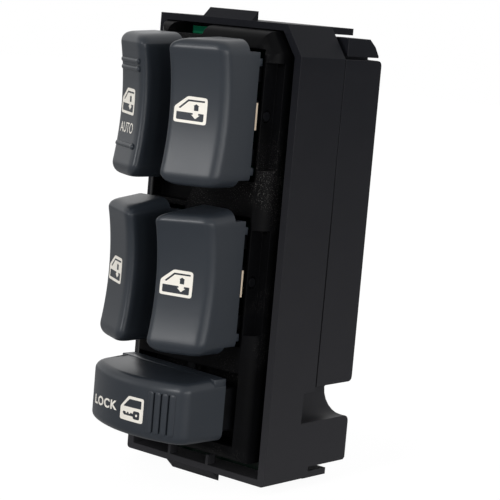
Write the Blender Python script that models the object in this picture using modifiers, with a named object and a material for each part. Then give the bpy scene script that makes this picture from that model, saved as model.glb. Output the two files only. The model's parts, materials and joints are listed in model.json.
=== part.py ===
"""Door switch with four window keys and a lock key, standing on its lower end.

All shapes are built in the switch frame: X to the right, Y towards the rear of
the housing with the open rim at Y = 0, and Z up from the underside of the
bottom wall. One empty then places that frame, so that the model stands on the
crest of its lower snap wedge with its outline centred on the origin.
"""
import math

import bmesh
import bpy
from mathutils import Matrix

MM = 0.001

# Housing: an open frame with one bevelled corner
HOUSING_WIDTH = 48.5 * MM
HOUSING_HEIGHT = 118.0 * MM
HOUSING_DEPTH = 18.1 * MM
SIDE_WALL = 2.2 * MM
END_WALL = 1.75 * MM
CORNER_RUN = 5.35 * MM
CORNER_DROP = 7.8 * MM
CORNER_RADIUS = 0.9 * MM
TONGUE_DEPTH = 27.3 * MM
LIP_DEPTH = 26.3 * MM

# Snap wedges on the end walls and the small ribs behind the lower one
WEDGE_LEFT = -9.5 * MM
WEDGE_RIGHT = 7.0 * MM
WEDGE_DEPTH = 2.6 * MM
WEDGE_HEIGHT = 2.45 * MM
WEDGE_RIBS = (-8.9 * MM, 4.5 * MM)
WEDGE_RIB_WIDTH = 0.9 * MM
WEDGE_RIB_HEIGHT = 2.6 * MM
WEDGE_RIB_DEPTH = 2.8 * MM

# Foot behind the housing, with a quarter-round channel down each side
CASE_DEPTH = 33.8 * MM
FOOT_GAP = 1.35 * MM
FOOT_TOP = 24.2 * MM
FOOT_FRONT = 11.4 * MM
FOOT_WALL = 2.0 * MM
FOOT_CHAMFER = 0.6 * MM
SHELF_HEIGHT = 15.3 * MM
CHANNEL_DEPTH = 8.05 * MM
CHANNEL_RADIUS = 6.1 * MM
CHANNEL_FRONT = 13.4 * MM
CHANNEL_WINDOW_TOP = 23.4 * MM

# Rear cover
COVER_FOOT_GAP = 0.4 * MM
COVER_WALL = 2.2 * MM
COVER_CORNER_RADIUS = 1.3 * MM
EAR_INSET = 1.2 * MM
EAR_WIDTH = 9.05 * MM
EAR_FRONT = 20.3 * MM
EAR_DROP = 2.4 * MM
EAR_CHAMFER = 4.2 * MM
EAR_SLIT_HEIGHT = 0.7 * MM
EAR_SLIT_WIDTH = 3.45 * MM

# Carrier, the block with the wells that the keys sit in
CARRIER_FRONT = -5.9 * MM
CARRIER_CLEARANCE = 1.85 * MM
CARRIER_EDGE_RADIUS = 4.4 * MM
CARRIER_TOP_CLEARANCE = 0.3 * MM
CARRIER_BOTTOM_CLEARANCE = 3.9 * MM
CARRIER_STEP_LEFT = -16.5 * MM
CARRIER_STEP_RIGHT = -4.5 * MM
CARRIER_STEP_DEPTH = 2.65 * MM
WELL_CLEARANCE = 0.95 * MM
WELL_END_CLEARANCE = 0.65 * MM
WELL_WALL = 0.6 * MM
NOTCH_INSET = 3.2 * MM
NOTCH_BACK = -1.1 * MM
RECESS_WALL = 1.35 * MM
RECESS_RIGHT = (-4.6 * MM, -1.5 * MM)
RECESS_BACK = -2.2 * MM

# Circuit board, and the rib on the top wall that it rests on
BOARD_FRONT = 4.5 * MM
BOARD_THICKNESS = 1.6 * MM
BOARD_CLEARANCE = 0.45 * MM
BOARD_END_CLEARANCE = 1.05 * MM
BOARD_REST_HALF_WIDTH = 16.0 * MM
BOARD_REST_THICKNESS = 1.2 * MM
BOARD_REST_HEIGHT = 2.2 * MM
POST_SIZE = 3.6 * MM
POST_ROWS = (0.2627, 0.8644)
POST_LENGTH = 11.4 * MM

# Window keys, two columns of two; rows are shares of the housing's height, as all rows here,
# and the two shares across are of half its width. The drafts are how far the upper ends of the
# upper and lower keys fall towards their faces
KEY_ROWS = (0.8021, 0.4453)
KEY_HALF_HEIGHT_SHARE = 0.1559
KEY_INNER_SHARE = 0.1674
KEY_WIDTH_SHARE = 0.5732
KEY_RISE = 0.4 * MM
KEY_DRAFTS = (1.1 * MM, 2.2 * MM)
KEY_REACH = 26.0 * MM
KEY_CROSS_SLOPE = 0.469
KEY_DISH = 2.6 * MM
KEY_EDGE_RADIUS = 2.2 * MM
KEY_END_RADIUS = 3.4 * MM
KEY_REAR = -12.4 * MM
KEY_WALL = 1.6 * MM
SKIRT_REAR = -8.4 * MM
SKIRT_INSET = 2.45 * MM
STOP_REACH = 1.3 * MM
STOP_WIDTH = 1.1 * MM
STOP_INSET = 1.75 * MM
STOP_HEIGHT = 1.5 * MM

# Raised bars: three across the first key, set in from its upper and lower ends, and four
# down the lock key, set in from its right end
UPPER_BAR_INSETS = (6.9 * MM, 8.9 * MM)
LOWER_BAR_INSET = 8.2 * MM
CROSS_BAR_RADIUS = 0.75 * MM
CROSS_BAR_INSET = 1.9 * MM
LOCK_BAR_INSETS = (8.65 * MM, 6.75 * MM, 4.85 * MM, 2.95 * MM)
LOCK_BAR_RADIUS = 0.65 * MM
LOCK_BAR_END_INSET = 2.2 * MM
BAR_PROUD = 0.45 * MM

# Lock key
LOCK_ROW = 0.1665
LOCK_HALF_HEIGHT_SHARE = 0.0648
LOCK_INSET = 0.11 * MM
LOCK_REACH = 27.0 * MM
LOCK_CROWN = 5.05 * MM
LOCK_END_RADIUS = 2.2 * MM
LOCK_EDGE_RADIUS = 2.4 * MM
LOCK_INNER_END_RADIUS = 0.8 * MM
LOCK_SKIRT_RISE = 1.05 * MM
LOCK_LEDGE = 0.15 * MM
LOCK_TILT = 5.1
LOCK_WELL_CLEARANCE = 0.55 * MM
LOCK_WELL_END_GAP = 0.8 * MM
LOCK_WELL_FLOOR = 1.6 * MM

# Rockers under the caps, their pivots, and the light guides through them
PIVOT_Y = -3.5 * MM
TRUNNION_RADIUS = 1.3 * MM
TRUNNION_PLAY = 0.3 * MM
TRUNNION_SOCKET = 2.1 * MM
ROCKER_INSET = 3.45 * MM
ROCKER_FOOT = -1.0 * MM
ROCKER_END_RADIUS = 1.0 * MM
HOLLOW_END_RADIUS = 1.2 * MM
STEM_HALF_WIDTH = 2.6 * MM
STEM_HALF_HEIGHT = 2.4 * MM
PLATE_HALF_HEIGHT = 3.4 * MM
PLATE_THICKNESS = 0.6 * MM
PLATE_MARGIN = 0.15 * MM
ROCKER_WINDOW_FRONT = -6.3 * MM
ROCKER_WINDOW_MARGIN = 0.5 * MM

# Switch blocks, plungers and lamps on the board
BLOCK_THICKNESS = 3.5 * MM
BLOCK_HALF_WIDTH = 4.5 * MM
BLOCK_LENGTH_SHARE = 0.6685
BLOCK_WINDOW_HALF_WIDTH = 2.4 * MM
BLOCK_WINDOW_HALF_LENGTH = 3.0 * MM
BLOCK_RIM = 0.6 * MM
PLUNGER_INSET = 2.3 * MM
PLUNGER_RADIUS = 1.2 * MM
PLUNGER_LENGTH = 3.3 * MM
PLUNGER_EDGE = 0.35 * MM
LAMP_WIDTH = 2.8 * MM
LAMP_LENGTH = 3.2 * MM
LAMP_HEIGHT = 1.3 * MM
LAMP_EDGE = 0.25 * MM

# Connector at the rear of the board
CONNECTOR_ROW = 0.5763
CONNECTOR_HALF_WIDTH = 10.5 * MM
CONNECTOR_HALF_HEIGHT = 18.0 * MM
CONNECTOR_WALL = 1.6 * MM
CONNECTOR_FLOOR = 6.0 * MM
CONNECTOR_RECESS = 1.2 * MM
CONNECTOR_KEYWAY = 4.0 * MM
PIN_ROWS = 6
PIN_COLUMNS = 2
PIN_PITCH = 5.0 * MM
PIN_SPREAD = 7.0 * MM
PIN_WIDTH = 1.5 * MM
PIN_THICKNESS = 0.8 * MM
PIN_LENGTH = 14.0 * MM
PIN_SEAT_DEPTH = 2.0 * MM
PIN_EDGE = 0.15 * MM

# Board screws
SCREW_HEAD_RADIUS = 2.4 * MM
SCREW_HEAD_HEIGHT = 1.5 * MM
SCREW_RADIUS = 1.1 * MM
SCREW_LENGTH = 7.0 * MM

# Fits and fineness
GAP = 0.3 * MM
OVERCUT = 1.5 * MM
LEAST_RADIUS = 0.4 * MM
ARC_STEPS = 4

# Sizes that follow from those above
HALF_WIDTH = HOUSING_WIDTH / 2
CHANNEL_HALF_SPAN = HALF_WIDTH - CHANNEL_DEPTH
COVER_BOTTOM = FOOT_TOP + COVER_FOOT_GAP
COVER_TOP = HOUSING_HEIGHT - CORNER_DROP
EAR_OUTER = HALF_WIDTH - EAR_INSET
EAR_INNER = EAR_OUTER - EAR_WIDTH
EAR_TOP = HOUSING_HEIGHT - EAR_DROP
POST_HEIGHTS = tuple(row * HOUSING_HEIGHT for row in POST_ROWS)
CONNECTOR_HEIGHT = CONNECTOR_ROW * HOUSING_HEIGHT
KEY_HEIGHTS = tuple(row * HOUSING_HEIGHT for row in KEY_ROWS)
KEY_HALF_HEIGHT = KEY_HALF_HEIGHT_SHARE * HOUSING_HEIGHT
SKIRT_HALF_HEIGHT = KEY_HALF_HEIGHT - SKIRT_INSET
ROCKER_HALF_HEIGHT = SKIRT_HALF_HEIGHT - ROCKER_INSET
WELL_HALF_HEIGHT = SKIRT_HALF_HEIGHT + WELL_END_CLEARANCE
NOTCH_HALF_HEIGHT = WELL_HALF_HEIGHT - NOTCH_INSET
CROSS_BARS = (
    *(KEY_HALF_HEIGHT - inset for inset in UPPER_BAR_INSETS),
    LOWER_BAR_INSET - KEY_HALF_HEIGHT,
)
KEY_INNER = KEY_INNER_SHARE * HALF_WIDTH
KEY_WIDTH = KEY_WIDTH_SHARE * HALF_WIDTH
KEY_OUTER = KEY_INNER + KEY_WIDTH
KEY_CENTRE = KEY_INNER + KEY_WIDTH / 2
WELL_INNER = KEY_INNER + WELL_CLEARANCE
WELL_OUTER = KEY_OUTER - WELL_CLEARANCE
CARRIER_BACK = BOARD_FRONT - GAP
BOARD_BACK = BOARD_FRONT + BOARD_THICKNESS
FOOT_BOTTOM = END_WALL + FOOT_GAP
BLOCK_FRONT = CARRIER_BACK - BLOCK_THICKNESS
BLOCK_HALF_LENGTH = BLOCK_LENGTH_SHARE * KEY_HALF_HEIGHT
PLUNGER_OFFSET = BLOCK_HALF_LENGTH - PLUNGER_INSET
PLUNGER_CLEAR = PLUNGER_OFFSET - PLUNGER_RADIUS - GAP
LOCK_HEIGHT = LOCK_ROW * HOUSING_HEIGHT
LOCK_HALF_HEIGHT = LOCK_HALF_HEIGHT_SHARE * HOUSING_HEIGHT
LOCK_HALF_WIDTH = KEY_OUTER - LOCK_INSET
LOCK_BARS = tuple(LOCK_HALF_WIDTH - inset for inset in LOCK_BAR_INSETS)
LOCK_BAR_HALF_HEIGHT = LOCK_HALF_HEIGHT - LOCK_BAR_END_INSET
LOCK_SKIRT_HALF_HEIGHT = LOCK_HALF_HEIGHT + LOCK_SKIRT_RISE
LOCK_WELL_HALF_HEIGHT = LOCK_SKIRT_HALF_HEIGHT + LOCK_WELL_END_GAP
LOCK_WELL_HALF_WIDTH = LOCK_HALF_WIDTH - LOCK_WELL_CLEARANCE
ROWS_MIDDLE = sum(KEY_HEIGHTS) / 2
SCREW_X = CONNECTOR_HALF_WIDTH + GAP + SCREW_HEAD_RADIUS
SCREW_Z = ((LOCK_HEIGHT + LOCK_WELL_HALF_HEIGHT + KEY_HEIGHTS[1] - WELL_HALF_HEIGHT) / 2, ROWS_MIDDLE)


def clear_scene():
    """Empty the scene of whatever it opened with."""
    for item in list(bpy.data.objects):
        bpy.data.objects.remove(item, do_unlink=True)


def make_collection(name):
    """A collection linked to the scene."""
    collection = bpy.data.collections.new(name)
    bpy.context.scene.collection.children.link(collection)
    return collection


def make_material(name, colour, roughness, metallic=0.0):
    """A plain Principled material."""
    material = bpy.data.materials.new(name)
    material.use_nodes = True
    shader = material.node_tree.nodes["Principled BSDF"]
    shader.inputs["Base Color"].default_value = (*colour, 1.0)
    shader.inputs["Roughness"].default_value = roughness
    shader.inputs["Metallic"].default_value = metallic
    return material


clear_scene()
PARTS = make_collection("window_and_lock_switch")
CUTTERS = make_collection("cutters")
HOUSING_PLASTIC = make_material("housing_plastic", (0.030, 0.030, 0.032), 0.45)
COVER_PLASTIC = make_material("cover_plastic", (0.027, 0.027, 0.029), 0.48)
CARRIER_PLASTIC = make_material("carrier_plastic", (0.012, 0.012, 0.013), 0.35)
KEY_PAINT = make_material("key_paint", (0.050, 0.056, 0.066), 0.5)
ROCKER_PLASTIC = make_material("rocker_plastic", (0.014, 0.014, 0.015), 0.45)
GUIDE_PLASTIC = make_material("guide_plastic", (0.86, 0.76, 0.62), 0.4)
BLOCK_PLASTIC = make_material("block_plastic", (0.02, 0.02, 0.02), 0.5)
PLUNGER_PLASTIC = make_material("plunger_plastic", (0.8, 0.78, 0.72), 0.4)
LAMP_EPOXY = make_material("lamp_epoxy", (0.85, 0.8, 0.45), 0.25)
BOARD_GREEN = make_material("board_green", (0.01, 0.09, 0.045), 0.35)
CONNECTOR_PLASTIC = make_material("connector_plastic", (0.015, 0.015, 0.016), 0.5)
PIN_METAL = make_material("pin_metal", (0.72, 0.70, 0.66), 0.3, 1.0)
SCREW_METAL = make_material("screw_metal", (0.62, 0.6, 0.55), 0.35, 1.0)

FRAME = bpy.data.objects.new("switch_frame", None)
PARTS.objects.link(FRAME)


def add_part(name, mesh, material, location=(0.0, 0.0, 0.0), smooth=30.0, turn=0.0):
    """Put a mesh into the scene as a finished piece in the switch frame, turned about Z by degrees."""
    part = bpy.data.objects.new(name, mesh)
    part.location = location
    part.rotation_euler = (0.0, 0.0, math.radians(turn))
    part.parent = FRAME
    mesh.materials.clear()
    mesh.materials.append(material)
    mesh.shade_smooth()
    mesh.set_sharp_from_angle(angle=math.radians(smooth))
    PARTS.objects.link(part)
    return part


def combine(part, mesh, operation, label):
    """Cut a piece with a mesh, or weld a mesh to it; both are in the piece's own frame."""
    tool = bpy.data.objects.new(label, mesh)
    tool.parent = FRAME
    tool.location = part.location
    tool.rotation_euler = part.rotation_euler
    tool.hide_render = True
    tool.display_type = "WIRE"
    CUTTERS.objects.link(tool)
    modifier = part.modifiers.new(label, "BOOLEAN")
    modifier.operation = operation
    modifier.object = tool


def cut(part, mesh, label):
    """Take a shape out of a piece."""
    combine(part, mesh, "DIFFERENCE", label)


def weld(part, mesh, label):
    """Add a shape to a piece, as one body."""
    combine(part, mesh, "UNION", label)


def finish_mesh(bm, name):
    """Turn an edit mesh into a closed mesh with its faces outwards."""
    bmesh.ops.recalc_face_normals(bm, faces=bm.faces)
    mesh = bpy.data.meshes.new(name)
    bm.to_mesh(mesh)
    bm.free()
    return mesh


def box(name, low, high, bevel=0.0):
    """A block between two corners, with its edges rounded where asked."""
    bm = bmesh.new()
    bmesh.ops.create_cube(bm, size=1.0)
    size = [h - l for l, h in zip(low, high)]
    centre = [(h + l) / 2 for l, h in zip(low, high)]
    bmesh.ops.transform(bm, matrix=Matrix.Translation(centre) @ Matrix.Diagonal((*size, 1.0)), verts=bm.verts)
    if bevel:
        bmesh.ops.bevel(bm, geom=bm.edges[:], offset=bevel, segments=2, profile=0.5, affect="EDGES")
    return finish_mesh(bm, name)


def cylinder(name, radius, start, length, axis, sides=20, bevel=0.0):
    """A round bar from a start point along X, Y or Z, with both rims rounded where asked."""
    turn = {
        "X": Matrix.Rotation(math.pi / 2, 4, "Y"),
        "Y": Matrix.Rotation(-math.pi / 2, 4, "X"),
        "Z": Matrix.Identity(4),
    }[axis]
    bm = bmesh.new()
    bmesh.ops.create_cone(bm, cap_ends=True, segments=sides, radius1=radius, radius2=radius, depth=length)
    if bevel:
        rims = [e for e in bm.edges if abs(e.verts[0].co.z - e.verts[1].co.z) < length / 4]
        bmesh.ops.bevel(bm, geom=rims, offset=bevel, segments=2, profile=0.5, affect="EDGES")
    bmesh.ops.transform(bm, matrix=Matrix.Translation((0, 0, length / 2)), verts=bm.verts)
    bmesh.ops.transform(bm, matrix=Matrix.Translation(start) @ turn, verts=bm.verts)
    return finish_mesh(bm, name)


def arc(centre, radius, start, stop, steps=ARC_STEPS):
    """Points along an arc, angles in degrees."""
    points = []
    for step in range(steps + 1):
        angle = math.radians(start + (stop - start) * step / steps)
        points.append((centre[0] + radius * math.cos(angle), centre[1] + radius * math.sin(angle)))
    return points


def prism(name, outline, plane, start, stop):
    """A flat closed outline, filled and extruded square to its plane."""
    curve = bpy.data.curves.new(name, "CURVE")
    curve.dimensions = "2D"
    curve.fill_mode = "BOTH"
    curve.extrude = abs(stop - start) / 2
    spline = curve.splines.new("POLY")
    spline.points.add(len(outline) - 1)
    for point, (u, v) in zip(spline.points, outline):
        point.co = (u, v, 0.0, 1.0)
    spline.use_cyclic_u = True
    holder = bpy.data.objects.new(name, curve)
    bpy.context.scene.collection.objects.link(holder)
    bpy.context.view_layer.update()
    mesh = bpy.data.meshes.new_from_object(holder.evaluated_get(bpy.context.evaluated_depsgraph_get()))
    bpy.data.objects.remove(holder, do_unlink=True)
    bm = bmesh.new()
    bm.from_mesh(mesh)
    bmesh.ops.remove_doubles(bm, verts=bm.verts, dist=0.00001)
    middle = (start + stop) / 2
    turn = {
        "XZ": Matrix(((1, 0, 0, 0), (0, 0, 1, middle), (0, 1, 0, 0), (0, 0, 0, 1))),
        "YZ": Matrix(((0, 0, 1, middle), (1, 0, 0, 0), (0, 1, 0, 0), (0, 0, 0, 1))),
    }[plane]
    bmesh.ops.transform(bm, matrix=turn, verts=bm.verts)
    return finish_mesh(bm, name)


def frame_outline(inset_side, inset_end, inset_bottom=None, radius=0.0):
    """Front outline of the housing moved inwards: a rectangle with its upper right corner cut off."""
    bottom = inset_end if inset_bottom is None else inset_bottom
    side = HALF_WIDTH - inset_side
    top = HOUSING_HEIGHT - inset_end
    slant = math.hypot(CORNER_RUN, CORNER_DROP)
    reach = CORNER_RUN * HOUSING_HEIGHT + CORNER_DROP * HALF_WIDTH - CORNER_RUN * CORNER_DROP
    reach -= (inset_side + inset_end) / 2 * slant
    corner_low = (side, (reach - CORNER_DROP * side) / CORNER_RUN)
    corner_high = ((reach - CORNER_RUN * top) / CORNER_DROP, top)
    if radius:
        right = arc((side - radius, bottom + radius), radius, -90, 0, 3)
        left = arc((radius - side, bottom + radius), radius, 180, 270, 3)
        return right + [corner_low, corner_high, (-side, top)] + left
    return [(side, bottom), corner_low, corner_high, (-side, top), (-side, bottom)]


def make_housing():
    """Open frame, snap wedges, tongue, lip, hollow foot with its two channels, board posts and rest."""
    housing = add_part(
        "housing",
        prism("housing", frame_outline(0.0, 0.0, radius=CORNER_RADIUS), "XZ", 0.0, HOUSING_DEPTH),
        HOUSING_PLASTIC,
    )
    tongue_half = HALF_WIDTH - CORNER_RUN
    sunk = HOUSING_DEPTH - OVERCUT
    low = (-tongue_half, sunk, HOUSING_HEIGHT - END_WALL)
    weld(housing, box("tongue", low, (tongue_half, TONGUE_DEPTH, HOUSING_HEIGHT)), "tongue")
    lip_half = HALF_WIDTH - CORNER_RADIUS / 2
    weld(housing, box("lip", (-lip_half, sunk, 0.0), (lip_half, LIP_DEPTH, END_WALL)), "lip")
    foot_side = [(FOOT_FRONT, FOOT_BOTTOM), (CASE_DEPTH - FOOT_CHAMFER, FOOT_BOTTOM)]
    foot_side += [(CASE_DEPTH, FOOT_BOTTOM + FOOT_CHAMFER), (CASE_DEPTH, FOOT_TOP), (FOOT_FRONT, FOOT_TOP)]
    foot = prism("foot", foot_side, "YZ", -HALF_WIDTH, HALF_WIDTH)
    cut(
        housing,
        prism("bore", frame_outline(SIDE_WALL, END_WALL), "XZ", -OVERCUT, HOUSING_DEPTH + OVERCUT),
        "bore",
    )
    weld(housing, foot, "foot")
    hollow = CHANNEL_HALF_SPAN - FOOT_WALL
    cut(
        housing,
        box(
            "foot_hollow",
            (-hollow, FOOT_FRONT - OVERCUT, FOOT_BOTTOM + FOOT_WALL),
            (hollow, CASE_DEPTH - FOOT_WALL, FOOT_TOP - FOOT_WALL),
        ),
        "foot_hollow",
    )
    for side, name in ((1, "right"), (-1, "left")):
        for part, front, back, height in (
            ("window", CHANNEL_FRONT, HOUSING_DEPTH, CHANNEL_WINDOW_TOP),
            ("channel", HOUSING_DEPTH - 0.01 * MM, CASE_DEPTH + OVERCUT, FOOT_TOP + OVERCUT),
        ):
            inner = CHANNEL_HALF_SPAN
            centre = (inner + CHANNEL_RADIUS, SHELF_HEIGHT + CHANNEL_RADIUS)
            outer = HALF_WIDTH + OVERCUT
            outline = [(inner, height)] + arc(centre, CHANNEL_RADIUS, 180, 270, 6)
            outline += [(outer, SHELF_HEIGHT), (outer, height)]
            outline = [(side * x, z) for x, z in outline]
            cut(housing, prism(f"{name}_{part}", outline, "XZ", front, back), f"{name}_{part}")
    for name, level, direction in (("upper", HOUSING_HEIGHT, 1), ("lower", 0.0, -1)):
        sunk = level - direction * END_WALL / 2
        crest = level + direction * WEDGE_HEIGHT
        outline = [(0.0, level), (WEDGE_DEPTH, crest), (WEDGE_DEPTH, sunk), (0.0, sunk)]
        weld(housing, prism(f"{name}_wedge", outline, "YZ", WEDGE_LEFT, WEDGE_RIGHT), f"{name}_wedge")
    for number, x in enumerate(WEDGE_RIBS, 1):
        low = (x - WEDGE_RIB_WIDTH / 2, 0.0, END_WALL / 2)
        high = (x + WEDGE_RIB_WIDTH / 2, WEDGE_RIB_DEPTH, END_WALL + WEDGE_RIB_HEIGHT)
        weld(housing, box(f"rib_{number}", low, high), f"rib_{number}")
    for side in (-1, 1):
        for height in POST_HEIGHTS:
            label = f"post_{side}_{round(height / MM)}"
            wall = side * (HALF_WIDTH - SIDE_WALL / 2)
            inner = side * (HALF_WIDTH - SIDE_WALL - POST_SIZE)
            front = BOARD_BACK + GAP
            low = (min(wall, inner), front, height - POST_SIZE / 2)
            high = (max(wall, inner), front + POST_LENGTH, height + POST_SIZE / 2)
            weld(housing, box(label, low, high), label)
    inner_top = HOUSING_HEIGHT - END_WALL
    front = BOARD_BACK + GAP
    low = (-BOARD_REST_HALF_WIDTH, front, inner_top - BOARD_REST_HEIGHT)
    high = (BOARD_REST_HALF_WIDTH, front + BOARD_REST_THICKNESS, inner_top + END_WALL / 2)
    weld(housing, box("board_rest", low, high), "board_rest")


def make_rear_cover():
    """Box closing the rear, flush with the housing's sides, with an ear at each upper corner."""
    front = HOUSING_DEPTH + GAP
    radius = COVER_CORNER_RADIUS
    outline = [(front, COVER_TOP), (front, COVER_BOTTOM)]
    outline += arc((CASE_DEPTH - radius, COVER_BOTTOM + radius), radius, -90, 0, 3)
    outline += arc((CASE_DEPTH - radius, COVER_TOP - radius), radius, 0, 90, 3)
    cover = add_part("rear_cover", prism("rear_cover", outline, "YZ", -HALF_WIDTH, HALF_WIDTH), COVER_PLASTIC)
    ear_outline = [
        (EAR_FRONT, COVER_TOP - COVER_WALL / 2),
        (CASE_DEPTH - COVER_WALL, COVER_TOP - COVER_WALL / 2),
        (CASE_DEPTH, COVER_TOP),
        (CASE_DEPTH, EAR_TOP - EAR_CHAMFER),
        (CASE_DEPTH - EAR_CHAMFER * 0.4, EAR_TOP - EAR_CHAMFER * 0.45),
        (CASE_DEPTH - EAR_CHAMFER, EAR_TOP),
        (EAR_FRONT, EAR_TOP),
    ]
    for side, name in ((1, "right"), (-1, "left")):
        ear = prism(f"{name}_ear", ear_outline, "YZ", side * EAR_INNER, side * EAR_OUTER)
        weld(cover, ear, f"{name}_ear")
        slit_edges = sorted((side * (EAR_OUTER - EAR_SLIT_WIDTH), side * (HALF_WIDTH + OVERCUT)))
        low = (slit_edges[0], EAR_FRONT - OVERCUT, COVER_TOP)
        high = (slit_edges[1], CASE_DEPTH + OVERCUT, COVER_TOP + EAR_SLIT_HEIGHT)
        cut(cover, box(f"{name}_slit", low, high), f"{name}_slit")
    inner = HALF_WIDTH - COVER_WALL
    low = (-inner, HOUSING_DEPTH - OVERCUT, COVER_BOTTOM + COVER_WALL)
    high = (inner, CASE_DEPTH - COVER_WALL, COVER_TOP - COVER_WALL)
    cut(cover, box("cover_hollow", low, high), "cover_hollow")
    half_width = CONNECTOR_HALF_WIDTH + GAP
    half_height = CONNECTOR_HALF_HEIGHT + GAP
    low = (-half_width, CASE_DEPTH - COVER_WALL - OVERCUT, CONNECTOR_HEIGHT - half_height)
    high = (half_width, CASE_DEPTH + OVERCUT, CONNECTOR_HEIGHT + half_height)
    cut(cover, box("connector_window", low, high), "connector_window")


def screw_places():
    """Where the board screws sit."""
    return [(side * SCREW_X, height) for side in (-1, 1) for height in SCREW_Z]


def make_carrier():
    """Block with rounded front edges, five wells, side notches, a recess and step, pivot and screw holes."""
    side_inset = SIDE_WALL + CARRIER_CLEARANCE
    end_inset = END_WALL + CARRIER_TOP_CLEARANCE
    outline = frame_outline(side_inset, end_inset, END_WALL + CARRIER_BOTTOM_CLEARANCE)
    mesh = prism("carrier", outline, "XZ", CARRIER_FRONT, CARRIER_BACK)
    bm = bmesh.new()
    bm.from_mesh(mesh)
    bmesh.ops.dissolve_limit(bm, angle_limit=0.01, verts=bm.verts, edges=bm.edges)
    middle = (CARRIER_FRONT + CARRIER_BACK) / 2
    rim = [e for e in bm.edges if all(v.co.y < middle for v in e.verts)]
    bmesh.ops.bevel(bm, geom=rim, offset=CARRIER_EDGE_RADIUS, segments=ARC_STEPS, profile=0.5, affect="EDGES")
    bm.to_mesh(mesh)
    bm.free()
    carrier = add_part("key_carrier", mesh, CARRIER_PLASTIC)
    front = CARRIER_FRONT - OVERCUT
    back = CARRIER_BACK + OVERCUT
    socket = TRUNNION_RADIUS + TRUNNION_PLAY
    for row, height in enumerate(KEY_HEIGHTS, 1):
        for side, column in ((-1, "left"), (1, "right")):
            label = f"{column}_{row}"
            edges = sorted((side * WELL_INNER, side * WELL_OUTER))
            low = (edges[0], front, height - WELL_HALF_HEIGHT)
            high = (edges[1], back, height + WELL_HALF_HEIGHT)
            cut(carrier, box(f"well_{label}", low, high), f"well_{label}")
            edges = sorted((side * (WELL_OUTER + WELL_WALL), side * HALF_WIDTH))
            low = (edges[0], front, height - NOTCH_HALF_HEIGHT)
            high = (edges[1], NOTCH_BACK, height + NOTCH_HALF_HEIGHT)
            cut(carrier, box(f"notch_{label}", low, high), f"notch_{label}")
            start = side * (WELL_INNER - TRUNNION_SOCKET)
            length = WELL_OUTER + WELL_WALL + OVERCUT - WELL_INNER + TRUNNION_SOCKET
            begin = start if side > 0 else start - length
            hole = cylinder(f"pivot_{label}", socket, (begin, PIVOT_Y, height), length, "X")
            cut(carrier, hole, f"pivot_{label}")
    step_bottom = HOUSING_HEIGHT - end_inset - CARRIER_STEP_DEPTH
    low = (CARRIER_STEP_LEFT, front, step_bottom)
    cut(carrier, box("top_step", low, (CARRIER_STEP_RIGHT, back, HOUSING_HEIGHT)), "top_step")
    recess_low = KEY_HEIGHTS[1] + WELL_HALF_HEIGHT + RECESS_WALL
    recess_high = KEY_HEIGHTS[0] - WELL_HALF_HEIGHT - RECESS_WALL
    outline = [(-WELL_OUTER, recess_low), (RECESS_RIGHT[0], recess_low)]
    outline += [(RECESS_RIGHT[1], recess_high), (-WELL_OUTER, recess_high)]
    cut(carrier, prism("recess", outline, "XZ", front, RECESS_BACK), "recess")
    low = (-LOCK_WELL_HALF_WIDTH, front, LOCK_HEIGHT - LOCK_WELL_HALF_HEIGHT)
    high = (LOCK_WELL_HALF_WIDTH, LOCK_WELL_FLOOR, LOCK_HEIGHT + LOCK_WELL_HALF_HEIGHT)
    cut(carrier, box("lock_well", low, high), "lock_well")
    low = (-BLOCK_HALF_LENGTH - GAP, front, LOCK_HEIGHT - BLOCK_HALF_WIDTH - GAP)
    high = (BLOCK_HALF_LENGTH + GAP, back, LOCK_HEIGHT + BLOCK_HALF_WIDTH + GAP)
    cut(carrier, box("lock_pocket", low, high), "lock_pocket")
    reach = LOCK_WELL_HALF_HEIGHT + TRUNNION_SOCKET
    cut(
        carrier,
        cylinder("lock_pivot", socket, (0.0, PIVOT_Y, LOCK_HEIGHT - reach), 2 * reach, "Z"),
        "lock_pivot",
    )
    depth = SCREW_LENGTH - BOARD_THICKNESS
    for number, (x, z) in enumerate(screw_places(), 1):
        label = f"screw_hole_{number}"
        start = (x, CARRIER_BACK - depth, z)
        cut(carrier, cylinder(label, SCREW_RADIUS + GAP, start, depth + OVERCUT, "Y", 12), label)


def make_board():
    """Circuit board behind the carrier, drilled for its screws."""
    outline = frame_outline(SIDE_WALL + BOARD_CLEARANCE, END_WALL + BOARD_END_CLEARANCE)
    mesh = prism("circuit_board", outline, "XZ", BOARD_FRONT, BOARD_BACK)
    board = add_part("circuit_board", mesh, BOARD_GREEN)
    depth = BOARD_THICKNESS + 2 * OVERCUT
    for number, (x, z) in enumerate(screw_places(), 1):
        label = f"board_hole_{number}"
        start = (x, BOARD_FRONT - OVERCUT, z)
        cut(board, cylinder(label, SCREW_RADIUS + GAP, start, depth, "Y", 12), label)


def make_screws():
    """Board screws: a turned profile, head to the rear."""
    profile = [
        (0.0, SCREW_HEAD_HEIGHT),
        (SCREW_HEAD_RADIUS * 0.85, SCREW_HEAD_HEIGHT),
        (SCREW_HEAD_RADIUS, SCREW_HEAD_HEIGHT * 0.6),
        (SCREW_HEAD_RADIUS, 0.0),
        (SCREW_RADIUS, 0.0),
        (SCREW_RADIUS, SCREW_RADIUS - SCREW_LENGTH),
        (0.0, -SCREW_LENGTH),
    ]
    mesh = bpy.data.meshes.new("board_screw")
    edges = [(i, i + 1) for i in range(len(profile) - 1)]
    mesh.from_pydata([(r, 0.0, z) for r, z in profile], edges, [])
    for number, (x, z) in enumerate(screw_places(), 1):
        screw = add_part(f"board_screw_{number}", mesh.copy(), SCREW_METAL, (x, BOARD_BACK + GAP, z))
        screw.rotation_euler = (-math.pi / 2, 0.0, 0.0)
        turn = screw.modifiers.new("turn", "SCREW")
        turn.axis = "Z"
        turn.steps = 16
        turn.render_steps = 16
        turn.use_merge_vertices = True
        turn.merge_threshold = 0.00001


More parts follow.
